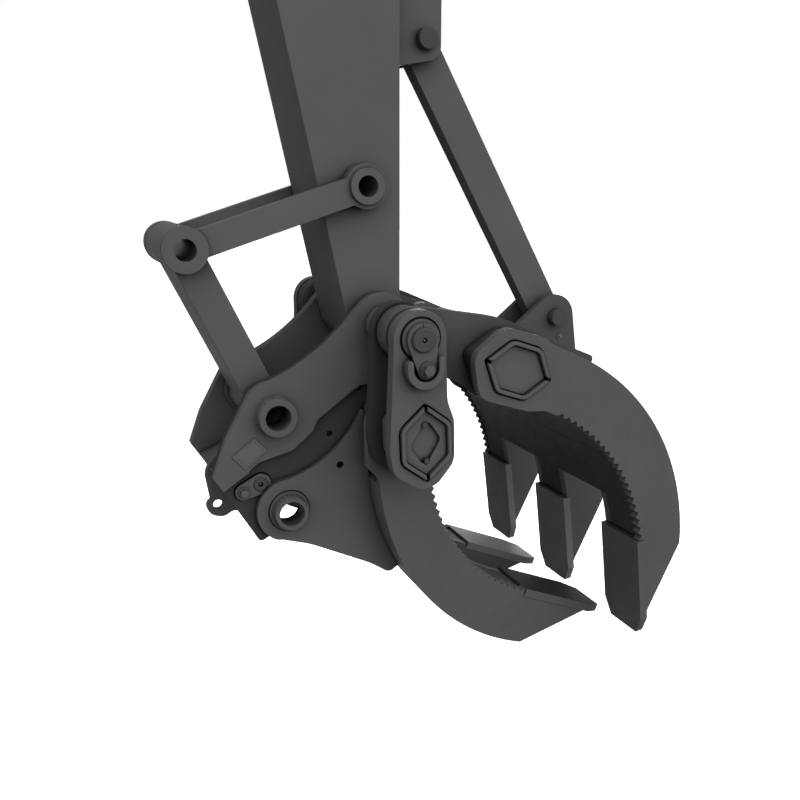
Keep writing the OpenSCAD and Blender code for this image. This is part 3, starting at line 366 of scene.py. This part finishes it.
def bare_plate_finish(name, colour, roughness):
    """Brushed identification plate with nothing written on it."""
    sheet = NodeSheet(name)
    brushed = sheet.spread(sheet.noise(180.0, 4.0, 0.6, (1.0, 1.0, 14.0)), 0.3, 0.7)
    base = sheet.mix(brushed, tone(colour, 0.92), tone(colour, 1.08))
    sheet.join(base, sheet.shader.inputs["Base Color"])
    rough = sheet.spread(brushed, 0.0, 1.0, roughness - 0.05, roughness + 0.07)
    sheet.join(rough, sheet.shader.inputs["Roughness"])
    sheet.shader.inputs["Metallic"].default_value = 0.35
    sheet.bumps(brushed, 0.08, 0.0003)
    return sheet.material


def finish(kind):
    """The named finish, made once from the colours in the panel."""
    if kind in bpy.data.materials:
        return bpy.data.materials[kind]
    look = settings()
    makers = {
        "machine_paint": lambda: paint_finish(kind, look.paint_colour, look.paint_roughness),
        # Wear plate colour made lighter: painted light
        "wear_plate_with_painted_light": lambda: plate_finish(
            kind, tone(look.plate_colour, WEAR_PLATE_PAINTED_LIGHT), look.plate_roughness),
        # The next three finishes are the paint made darker: painted shade on skins, inner plates and
        # recessed plates
        "skins_with_painted_shade": lambda: plate_finish(
            kind, tone(look.paint_colour, look.painted_shade_skins), look.plate_roughness, 0.01),
        "inner_plates_with_painted_shade": lambda: paint_finish(
            kind, tone(look.paint_colour, look.painted_shade_inner), look.paint_roughness, gloss=0.0),
        "recesses_with_painted_shade": lambda: paint_finish(
            kind, tone(look.paint_colour, look.painted_shade_recess), look.paint_roughness, gloss=0.0),
        "zinc_fitting": lambda: pin_finish(kind, tone(look.pin_colour, ZINC_LIFT), 0.38),
        "weld_paint": lambda: paint_finish(kind, look.paint_colour, look.paint_roughness + 0.04, 1.5),
        "tooth_plate": lambda: plate_finish(kind, look.plate_colour, look.plate_roughness),
        # Wear plate with a painted shadow on its top face
        "plate_with_painted_shadow": lambda: plate_finish(
            kind, look.plate_colour, look.plate_roughness, 0.01, PAINTED_SHADOW_WAY),
        # Pin colour made lighter: painted light
        "pin_with_painted_light": lambda: pin_finish(kind, tone(look.pin_colour, PIN_PAINTED_LIGHT), look.pin_roughness),
        "greased_pin": lambda: pin_finish(kind, look.pin_colour, look.pin_roughness),
        "bare_plate": lambda: bare_plate_finish(kind, look.badge_colour, 0.42),
    }
    return makers[kind]()


def dress(names, kind, radius):
    """Gives CAD nodes their finish and a small rounding on their sharp edges."""
    for name in names:
        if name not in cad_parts:
            raise RuntimeError("no CAD node named " + name)
        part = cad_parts[name]
        part.data.materials.clear()
        part.data.materials.append(finish(kind))
        soften(part, radius)


def soften(part, radius):
    """Joins the facets of a solid again and rounds its sharp edges."""
    join = part.modifiers.new("joined", "WELD")
    join.merge_threshold = JOIN_GAP
    flat = part.modifiers.new("flats", "DECIMATE")
    flat.decimate_type = "DISSOLVE"
    flat.angle_limit = math.radians(FLAT_ANGLE)
    edge = part.modifiers.new("edges", "BEVEL")
    edge.width = radius
    edge.segments = 2
    edge.limit_method = "ANGLE"
    edge.angle_limit = math.radians(EDGE_ANGLE)
    edge.harden_normals = True
    edge.use_clamp_overlap = True
    edge.miter_outer = "MITER_ARC"


# ---------------------------------------------------------------- small trim


def spot(place, along):
    """Point in the frame from a place [across, up] and a distance along the pins."""
    return PIVOT + Vector((place[0], along, place[1]))


def hand_over(name, form, kind, body):
    """Makes an object of a finished form, gives it its finish and lets it ride on its body."""
    mesh = bpy.data.meshes.new(name)
    bmesh.ops.recalc_face_normals(form, faces=form.faces)
    form.to_mesh(mesh)
    form.free()
    mesh.shade_smooth()
    mesh.set_sharp_from_angle(angle=math.radians(SMOOTH_ANGLE))
    piece = bpy.data.objects.new(name, mesh)
    bpy.context.scene.collection.objects.link(piece)
    mesh.materials.append(finish(kind))
    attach(piece, body)


def sweep(form, path, radius, closed, sides=8, ripple=0.0, pitch=0.005):
    """Sweeps a round section along a path, with the ripples of a laid bead if asked."""
    count = len(path)
    rings = []
    run = 0.0
    side = Vector((0.0, 1.0, 0.0))
    for i, point in enumerate(path):
        before = path[(i - 1) % count] if closed or i > 0 else point
        after = path[(i + 1) % count] if closed or i < count - 1 else point
        ahead = (after - before).normalized()
        if abs(ahead.dot(side)) > 0.9:
            across = ahead.cross(Vector((1.0, 0.0, 0.0))).normalized()
        else:
            across = ahead.cross(side).normalized()
        other = across.cross(ahead)
        swell = radius * (1.0 - ripple * (0.5 + 0.5 * math.cos(2.0 * math.pi * run / pitch)))
        rings.append([
            form.verts.new(point + swell * (math.cos(turn) * across + math.sin(turn) * other))
            for turn in (2.0 * math.pi * k / sides for k in range(sides))])
        run += (after - point).length
    last = count if closed else count - 1
    for i in range(last):
        first, second = rings[i], rings[(i + 1) % count]
        for k in range(sides):
            form.faces.new((first[k], first[(k + 1) % sides], second[(k + 1) % sides], second[k]))
    if not closed:
        form.faces.new(rings[0])
        form.faces.new(list(reversed(rings[-1])))


def circle(place, radius, along, step=BEAD_STEP):
    """Points round a pin's axis, a step apart."""
    count = max(12, int(radius * math.radians(360.0) / step))
    turns = [math.radians(360.0 * i / count) for i in range(count)]
    return [
        spot((place[0] + radius * math.cos(turn), place[1] + radius * math.sin(turn)), along)
        for turn in turns
    ]


def line(first, last, step=BEAD_STEP):
    """Points on a straight line, a step apart."""
    count = max(2, int((last - first).length / step))
    return [first.lerp(last, i / count) for i in range(count + 1)]


def turned(form, base, way, profile, sides=20, teeth=0, depth=0.0):
    """A turned body on a base point: profile is [height, radius], teeth notch its widest rings."""
    way = way.normalized()
    across = way.orthogonal().normalized()
    other = way.cross(across)
    widest = max(radius for height, radius in profile)
    rings = []
    for height, radius in profile:
        ring = []
        for k in range(sides):
            turn = 2.0 * math.pi * k / sides
            notch = depth if teeth and radius > 0.95 * widest and (k * teeth // sides) % 2 else 0.0
            reach = radius - notch
            out = across * (reach * math.cos(turn)) + other * (reach * math.sin(turn))
            ring.append(form.verts.new(base + way * height + out))
        rings.append(ring)
    for first, second in zip(rings, rings[1:]):
        for k in range(sides):
            form.faces.new((first[k], first[(k + 1) % sides], second[(k + 1) % sides], second[k]))
    form.faces.new(list(reversed(rings[0])))
    form.faces.new(rings[-1])


def nipple(form, base, way, size=1.0):
    """Grease nipple: collar, waist and ball end."""
    profile = [
        (0.0, 0.0034), (0.0022, 0.0034), (0.0026, 0.0022), (0.0048, 0.0020), (0.0060, 0.0015),
        (0.0070, 0.0022), (0.0080, 0.0026), (0.0090, 0.0024), (0.0098, 0.0014), (0.0100, 0.0006),
    ]
    turned(form, base, way, [(height * size, radius * size) for height, radius in profile], 16)


# ---------------------------------------------------------------- panel values


class GrappleSettings(bpy.types.PropertyGroup):
    edge_radius: FloatProperty(
        name="Edge rounding", description="Rounding on flame-cut and machined edges",
        default=0.0025, min=0.0002, max=0.006, unit="LENGTH", precision=4,
    )
    fine_radius: FloatProperty(
        name="Fine edge rounding", description="Rounding on bolts, pins and small plates",
        default=0.0010, min=0.0002, max=0.003, unit="LENGTH", precision=4,
    )
    bead_radius: FloatProperty(
        name="Weld bead radius", description="Radius of the laid weld beads",
        default=0.0042, min=0.002, max=0.010, unit="LENGTH", precision=4,
    )
    bead_pitch: FloatProperty(
        name="Weld ripple pitch", description="Distance between two ripples of a weld bead",
        default=0.0060, min=0.002, max=0.020, unit="LENGTH", precision=4,
    )
    nipple_size: FloatProperty(
        name="Grease nipple size", description="Size of the grease nipples against a small one",
        default=1.0, min=0.5, max=2.0, subtype="FACTOR",
    )
    seal_proud: FloatProperty(
        name="Seal height", description="How far the dust seals stand out of the bore's wall",
        default=0.0012, min=0.0004, max=0.003, unit="LENGTH", precision=4,
    )
    rim_inset: FloatProperty(
        name="Plate rim inset", description="Distance from the bare plate's corners to its rim",
        default=0.009, min=0.002, max=0.020, unit="LENGTH", precision=4,
    )
    paint_colour: FloatVectorProperty(
        name="Paint", description="Colour of the painted steel, linear",
        subtype="COLOR", size=3, min=0.0, max=1.0, default=(0.104, 0.104, 0.105),
    )
    # Painted shade: how much darker the jaws' inner skins are painted than the paint
    painted_shade_skins: FloatProperty(
        name="Skin shade", description="Shade of the jaws' inner skins against the paint",
        default=0.48, min=0.1, max=1.0, subtype="FACTOR",
    )
    # Painted shade: how much darker the inner plates are painted than the paint
    painted_shade_inner: FloatProperty(
        name="Inner plate shade", description="Shade of the coupler's inner plates against the paint",
        default=0.80, min=0.1, max=1.0, subtype="FACTOR",
    )
    # Painted shade: how much darker the plates deep between others are painted than the paint
    painted_shade_recess: FloatProperty(
        name="Recess shade", description="Shade of the plates deep between others against the paint",
        default=0.50, min=0.1, max=1.0, subtype="FACTOR",
    )
    paint_roughness: FloatProperty(
        name="Paint roughness", description="Roughness of the painted steel",
        default=0.62, min=0.1, max=1.0, subtype="FACTOR",
    )
    plate_colour: FloatVectorProperty(
        name="Tooth plates", description="Colour of the toothed wear plates, linear",
        subtype="COLOR", size=3, min=0.0, max=1.0, default=(0.100, 0.100, 0.101),
    )
    plate_roughness: FloatProperty(
        name="Tooth plate roughness", description="Roughness of the toothed wear plates",
        default=0.66, min=0.1, max=1.0, subtype="FACTOR",
    )
    pin_colour: FloatVectorProperty(
        name="Pins", description="Colour of pins, bolts and washers, linear",
        subtype="COLOR", size=3, min=0.0, max=1.0, default=(0.063, 0.063, 0.064),
    )
    pin_roughness: FloatProperty(
        name="Pin roughness", description="Roughness of pins, bolts and washers",
        default=0.50, min=0.1, max=1.0, subtype="FACTOR",
    )
    badge_colour: FloatVectorProperty(
        name="Bare plate", description="Colour of the identification plate, linear",
        subtype="COLOR", size=3, min=0.0, max=1.0, default=(0.070, 0.070, 0.071),
    )
    floor_colour: FloatVectorProperty(
        name="Floor", description="Colour of the studio floor, linear",
        subtype="COLOR", size=3, min=0.0, max=1.0, default=(0.90, 0.90, 0.90),
    )
    floor_drop: FloatProperty(
        name="Floor drop", description="Gap between the hanging grapple's tips and the floor",
        default=0.85, min=0.0, max=3.0, unit="LENGTH",
    )
    dome_level: FloatProperty(
        name="Dome level", description="Strength of the soft light from all round",
        default=0.78, min=0.0, max=3.0,
    )
    dome_lean: FloatVectorProperty(
        name="Dome lean", description="How much stronger the soft light is towards each side",
        subtype="XYZ", size=3, min=-3.0, max=3.0, default=(0.52, -0.98, 0.28),
    )
    floor_bounce: FloatProperty(
        name="Floor bounce", description="Share of the light that the floor throws back up",
        default=0.04, min=0.0, max=1.0, subtype="FACTOR",
    )
    key_power: FloatProperty(
        name="Key light", description="Power of the large light above the viewer's right shoulder",
        default=12.0, min=0.0, max=2000.0, unit="POWER",
    )
    fill_power: FloatProperty(
        name="Fill light", description="Power of the large light behind the grapple, for its far side",
        default=300.0, min=0.0, max=2000.0, unit="POWER",
    )
    side_power: FloatProperty(
        name="Side light", description="Power of the large light on the links' side",
        default=18.0, min=0.0, max=2000.0, unit="POWER",
    )


# ---------------------------------------------------------------- operators


class GRAPPLE_OT_stick_finish(bpy.types.Operator):
    """Paint the stick, the stiff strut and its brackets"""

    bl_idname = "grapple.stick_finish"
    bl_label = "Stick and strut"

    def execute(self, context):
        dress(STICK_NODES, "machine_paint", settings().edge_radius)
        return {"FINISHED"}


class GRAPPLE_OT_jaw_finish(bpy.types.Operator):
    """Paint the jaws, the coupler and the linkage, with painted shade on the inner skins, inner plates
    and plates deep between others
    """

    bl_idname = "grapple.jaw_finish"
    bl_label = "Jaws, coupler and linkage"

    def execute(self, context):
        taken = set(STICK_NODES + PIN_NODES + PAINTED_LIGHT_PIN_NODES + WEAR_NODES + PAINTED_LIGHT_WEAR_NODES
                    + PAINTED_SHADOW_NODES + SKIN_NODES + INNER_NODES + RECESS_NODES)
        taken.add("name_plate")
        rest = [name for name in sorted(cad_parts) if name not in taken]
        dress(rest, "machine_paint", settings().edge_radius)
        # Skins, inner plates and recessed plates get darker paint copies, as painted shade
        dress(SKIN_NODES, "skins_with_painted_shade", settings().edge_radius)
        dress(INNER_NODES, "inner_plates_with_painted_shade", settings().edge_radius)
        dress(RECESS_NODES, "recesses_with_painted_shade", settings().edge_radius)
        return {"FINISHED"}


class GRAPPLE_OT_tooth_finish(bpy.types.Operator):
    """Give the toothed plates and wear plates their rolled finish, with painted light on three wear
    plates and a painted shadow on one
    """

    bl_idname = "grapple.tooth_finish"
    bl_label = "Toothed and wear plates"

    def execute(self, context):
        dress(WEAR_NODES, "tooth_plate", settings().fine_radius)
        # Three wear plates get a lighter copy of the plate finish, as painted light
        dress(PAINTED_LIGHT_WEAR_NODES, "wear_plate_with_painted_light", settings().fine_radius)
        # The near lower wear plate gets a painted shadow on its top face
        dress(PAINTED_SHADOW_NODES, "plate_with_painted_shadow", settings().fine_radius)
        return {"FINISHED"}


class GRAPPLE_OT_pin_finish(bpy.types.Operator):
    """Give pins, bolts and washers a greased, turned finish, with painted light on the link pins and
    keeper bolts
    """

    bl_idname = "grapple.pin_finish"
    bl_label = "Pins and bolts"

    def execute(self, context):
        dress(PIN_NODES, "greased_pin", settings().fine_radius)
        # Link pins and keeper bolts get a lighter copy of the pin finish, as painted light
        dress(PAINTED_LIGHT_PIN_NODES, "pin_with_painted_light", settings().fine_radius)
        dress(("name_plate",), "bare_plate", settings().fine_radius * 0.5)
        return {"FINISHED"}


class GRAPPLE_OT_weld_beads(bpy.types.Operator):
    """Lay the weld beads on the strut's brackets and round the coupler's bosses"""

    bl_idname = "grapple.weld_beads"
    bl_label = "Weld beads"

    def execute(self, context):
        size = settings().bead_radius
        for side, along in (("near", -1.0), ("far", 1.0)):
            form = bmesh.new()
            self.bead(form, circle(STRUT_TOP, STRUT_BOSS_R, along * LUG_OUT), SMALL_BEAD * size, True)
            low, high = (spot((STICK_FRONT, up), along * LUG_OUT) for up in BRACKET_SEAM)
            self.bead(form, line(low, high), size, False)
            hand_over("strut_bracket_weld_" + side, form, "weld_paint", STICK_BODY)
            form = bmesh.new()
            self.bead(form, circle(COUPLER_PIN, BOSS_R, along * CHEEK_OUT), size, True)
            hand_over("coupler_boss_weld_" + side, form, "weld_paint", JAW_BODY)
        return {"FINISHED"}

    def bead(self, form, path, radius, closed):
        """One bead with its ripples."""
        sweep(form, path, radius, closed, BEAD_SIDES, BEAD_RIPPLE, settings().bead_pitch)


class GRAPPLE_OT_grease_points(bpy.types.Operator):
    """Fit the grease nipples in the pins' ends, the bosses and the link's joint"""

    bl_idname = "grapple.grease_points"
    bl_label = "Grease points"

    def execute(self, context):
        size = settings().nipple_size
        for side, along in (("near", -1.0), ("far", 1.0)):
            outward = Vector((0.0, along, 0.0))
            form = bmesh.new()
            nipple(form, spot(MAIN_PIN, along * MAIN_PIN_END), outward, MAIN_NIPPLE * size)
            nipple(form, spot(LOCK_PIN, along * LOCK_PIN_END), outward, LOCK_NIPPLE * size)
            for place, radius, (out, angle) in (
                    (COUPLER_PIN, BOSS_R, COUPLER_NIPPLE_AT), (REAR_PIN, REAR_BOSS_R, REAR_NIPPLE_AT)):
                self.on_boss(form, place, radius, along * out, angle, size)
            hand_over("jaw_grease_nipples_" + side, form, "zinc_fitting", JAW_BODY)
            form = bmesh.new()
            hole = spot(LUG_HOLE, along * LUG_OUT)
            turned(form, hole, outward, LUG_CAP, LUG_CAP_SIDES, LUG_CAP_TEETH, LUG_CAP_NOTCH)
            nipple(form, hole, outward, LUG_NIPPLE * size)
            hand_over("strut_lug_grease_nipple_" + side, form, "zinc_fitting", STICK_BODY)
        form = bmesh.new()
        for angle in LINK_NIPPLE_ANGLES:
            self.on_boss(form, LINK_JOINT, LINK_TUBE_R, LINK_NIPPLE_ALONG, angle, size)
        hand_over("link_grease_nipples", form, "zinc_fitting", LINK_BODY)
        return {"FINISHED"}

    def on_boss(self, form, place, radius, along, angle, size):
        """A nipple that stands on the round side of a boss, at an angle from straight ahead."""
        turn = math.radians(angle)
        way = Vector((math.cos(turn), 0.0, math.sin(turn)))
        nipple(form, spot(place, along) + way * (radius - NIPPLE_SINK), way, BOSS_NIPPLE * size)


class GRAPPLE_OT_bore_seals(bpy.types.Operator):
    """Press the dust seals into the bosses' bores"""

    bl_idname = "grapple.bore_seals"
    bl_label = "Bore seals"

    def execute(self, context):
        proud = settings().seal_proud
        for side, along in (("near", -1.0), ("far", 1.0)):
            form = bmesh.new()
            for place, out, depths in (
                    (COUPLER_PIN, BOSS_OUT, COUPLER_SEALS), (REAR_PIN, REAR_BOSS_OUT, REAR_SEALS)):
                for depth in depths:
                    sweep(form, circle(place, BORE_R, along * (out - depth), SEAL_STEP), proud, True)
            hand_over("boss_bore_seals_" + side, form, "greased_pin", JAW_BODY)
        return {"FINISHED"}


class GRAPPLE_OT_plate_rim(bpy.types.Operator):
    """Raise the thin rim round the bare identification plate"""

    bl_idname = "grapple.plate_rim"
    bl_label = "Bare plate's rim"

    def execute(self, context):
        inset = settings().rim_inset
        middle = sum((Vector((p[0], 0.0, p[1])) for p in NAME_PLATE), Vector()) / len(NAME_PLATE)
        path = []
        corners = []
        for place in NAME_PLATE:
            corner = Vector((place[0], 0.0, place[1]))
            corners.append(corner + (middle - corner).normalized() * inset)
        for first, last in zip(corners, corners[1:] + corners[:1]):
            for share in RIM_POINTS:
                point = first.lerp(last, share)
                path.append(spot((point.x, point.z), -NAME_PLATE_OUT))
        form = bmesh.new()
        sweep(form, path, RIM_R, True, sides=6)
        hand_over("identification_plate_rim", form, "bare_plate", JAW_BODY)
        return {"FINISHED"}


class GRAPPLE_OT_studio(bpy.types.Operator):
    """Make the plain pale floor, the soft dome light and the three large lamps"""

    bl_idname = "grapple.studio"
    bl_label = "Studio"

    def execute(self, context):
        look = settings()
        lowest = CAD_BOX[0][2] - look.floor_drop
        sheet = bpy.data.meshes.new("studio_floor")
        form = bmesh.new()
        bmesh.ops.create_grid(form, x_segments=24, y_segments=24, size=FLOOR_HALF)
        form.to_mesh(sheet)
        form.free()
        floor = bpy.data.objects.new("studio_floor", sheet)
        floor.location = (0.0, 0.0, lowest)
        context.scene.collection.objects.link(floor)
        floor.data.materials.append(self.floor_finish(look))
        self.dome(context, look)
        self.lamp(context, "key_light", KEY_PLACE, KEY_SIZE, look.key_power)
        self.lamp(context, "fill_light", FILL_PLACE, FILL_SIZE, look.fill_power)
        self.lamp(context, "side_light", SIDE_PLACE, SIDE_SIZE, look.side_power)
        context.scene.view_settings.view_transform = "Standard"
        return {"FINISHED"}

    def floor_finish(self, look):
        """White to the camera wherever no shadow falls, a duller bounce for everything else."""
        made = NodeSheet("studio_floor_white")
        rays = made.add("ShaderNodeLightPath")
        seen = made.math("MAXIMUM", rays.outputs["Is Camera Ray"], rays.outputs["Is Glossy Ray"])
        seen = made.math("MAXIMUM", seen, rays.outputs["Is Transmission Ray"])
        mottle = made.spread(made.noise(1.5, 3.0), 0.3, 0.7)
        pale = made.mix(mottle, tone(look.floor_colour, 1.0), tone(look.floor_colour, 1.02))
        colour = made.mix(seen, tone(3 * (look.floor_bounce,), 1.0), pale)
        made.join(colour, made.shader.inputs["Base Color"])
        made.shader.inputs["Roughness"].default_value = 0.9
        made.shader.inputs["Specular IOR Level"].default_value = 0.0
        made.shader.inputs["Emission Color"].default_value = (1.0, 1.0, 1.0, 1.0)
        made.join(made.math("MULTIPLY", seen, FLOOR_GLOW), made.shader.inputs["Emission Strength"])
        return made.material

    def dome(self, context, look):
        """Soft light, stronger towards the lean, with plain white behind the grapple."""
        world = bpy.data.worlds.new("studio_dome")
        context.scene.world = world
        world.use_nodes = True
        nodes, links = world.node_tree.nodes, world.node_tree.links
        nodes.clear()

        def maths(operation, first, second):
            node = nodes.new("ShaderNodeMath")
            node.operation = operation
            links.new(first, node.inputs[0])
            if isinstance(second, float):
                node.inputs[1].default_value = second
            else:
                links.new(second, node.inputs[1])
            return node.outputs["Value"]

        place = nodes.new("ShaderNodeTexCoord")
        aim = nodes.new("ShaderNodeVectorMath")
        aim.operation = "DOT_PRODUCT"
        aim.inputs[1].default_value = look.dome_lean
        links.new(place.outputs["Generated"], aim.inputs[0])
        level = maths("MAXIMUM", maths("ADD", aim.outputs["Value"], look.dome_level), DOME_LEAST)
        glow = nodes.new("ShaderNodeBackground")
        glow.inputs["Color"].default_value = (1.0, 1.0, 1.0, 1.0)
        links.new(level, glow.inputs["Strength"])
        white = nodes.new("ShaderNodeBackground")
        white.inputs["Color"].default_value = (1.0, 1.0, 1.0, 1.0)
        white.inputs["Strength"].default_value = 1.0
        rays = nodes.new("ShaderNodeLightPath").outputs
        seen = maths("MAXIMUM", rays["Is Camera Ray"], rays["Is Transmission Ray"])
        seen = maths("MAXIMUM", seen, rays["Is Glossy Ray"])
        pick = nodes.new("ShaderNodeMixShader")
        links.new(seen, pick.inputs["Fac"])
        links.new(glow.outputs["Background"], pick.inputs[1])
        links.new(white.outputs["Background"], pick.inputs[2])
        out = nodes.new("ShaderNodeOutputWorld")
        links.new(pick.outputs["Shader"], out.inputs["Surface"])

    def lamp(self, context, name, place, size, power):
        """A large rectangular lamp, aimed at the middle of the grapple."""
        data = bpy.data.lights.new(name, "AREA")
        data.shape = "RECTANGLE"
        data.size, data.size_y = size
        data.energy = power
        lamp = bpy.data.objects.new(name, data)
        lamp.location = place
        aim = Vector(LAMP_TARGET) - Vector(place)
        lamp.rotation_euler = aim.to_track_quat("-Z", "Y").to_euler()
        context.scene.collection.objects.link(lamp)


class GRAPPLE_OT_camera(bpy.types.Operator):
    """Set the camera at the photograph's viewing angle"""

    bl_idname = "grapple.camera"
    bl_label = "Camera"

    def execute(self, context):
        data = bpy.data.cameras.new("view_camera")
        data.sensor_width = 36.0
        data.lens = LENS
        data.clip_end = 200.0
        camera = bpy.data.objects.new("view_camera", data)
        camera.location = Vector(CAMERA_PLACE) + PIVOT
        aim = Vector(CAMERA_AIM)
        camera.rotation_euler = aim.to_track_quat("-Z", "Y").to_euler()
        context.scene.collection.objects.link(camera)
        context.scene.camera = camera
        return {"FINISHED"}


class GRAPPLE_PT_panel(bpy.types.Panel):
    """Sidebar panel with the grapple's values and steps"""

    bl_idname = "GRAPPLE_PT_panel"
    bl_label = "Demolition Grapple"
    bl_space_type = "VIEW_3D"
    bl_region_type = "UI"
    bl_category = "Grapple"

    def draw(self, context):
        column = self.layout.column(align=True)
        for key in GrappleSettings.__annotations__:
            column.prop(context.scene.grapple, key)
        column.separator()
        for step in STEPS:
            column.operator(step.bl_idname)


STEPS = (
    GRAPPLE_OT_camera,
    GRAPPLE_OT_stick_finish,
    GRAPPLE_OT_jaw_finish,
    GRAPPLE_OT_tooth_finish,
    GRAPPLE_OT_pin_finish,
    GRAPPLE_OT_weld_beads,
    GRAPPLE_OT_grease_points,
    GRAPPLE_OT_bore_seals,
    GRAPPLE_OT_plate_rim,
    GRAPPLE_OT_studio,
)
CLASSES = (GrappleSettings,) + STEPS + (GRAPPLE_PT_panel,)


def register():
    for kind in CLASSES:
        bpy.utils.register_class(kind)
    bpy.types.Scene.grapple = PointerProperty(type=GrappleSettings)


def unregister():
    del bpy.types.Scene.grapple
    for kind in reversed(CLASSES):
        bpy.utils.unregister_class(kind)


def main():
    """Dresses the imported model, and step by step."""
    register()
    bpy.ops.grapple.camera()
    bpy.ops.grapple.stick_finish()
    bpy.ops.grapple.jaw_finish()
    bpy.ops.grapple.tooth_finish()
    bpy.ops.grapple.pin_finish()
    bpy.ops.grapple.weld_beads()
    bpy.ops.grapple.grease_points()
    bpy.ops.grapple.bore_seals()
    bpy.ops.grapple.plate_rim()
    bpy.ops.grapple.studio()


if __name__ == "__main__":
    main()
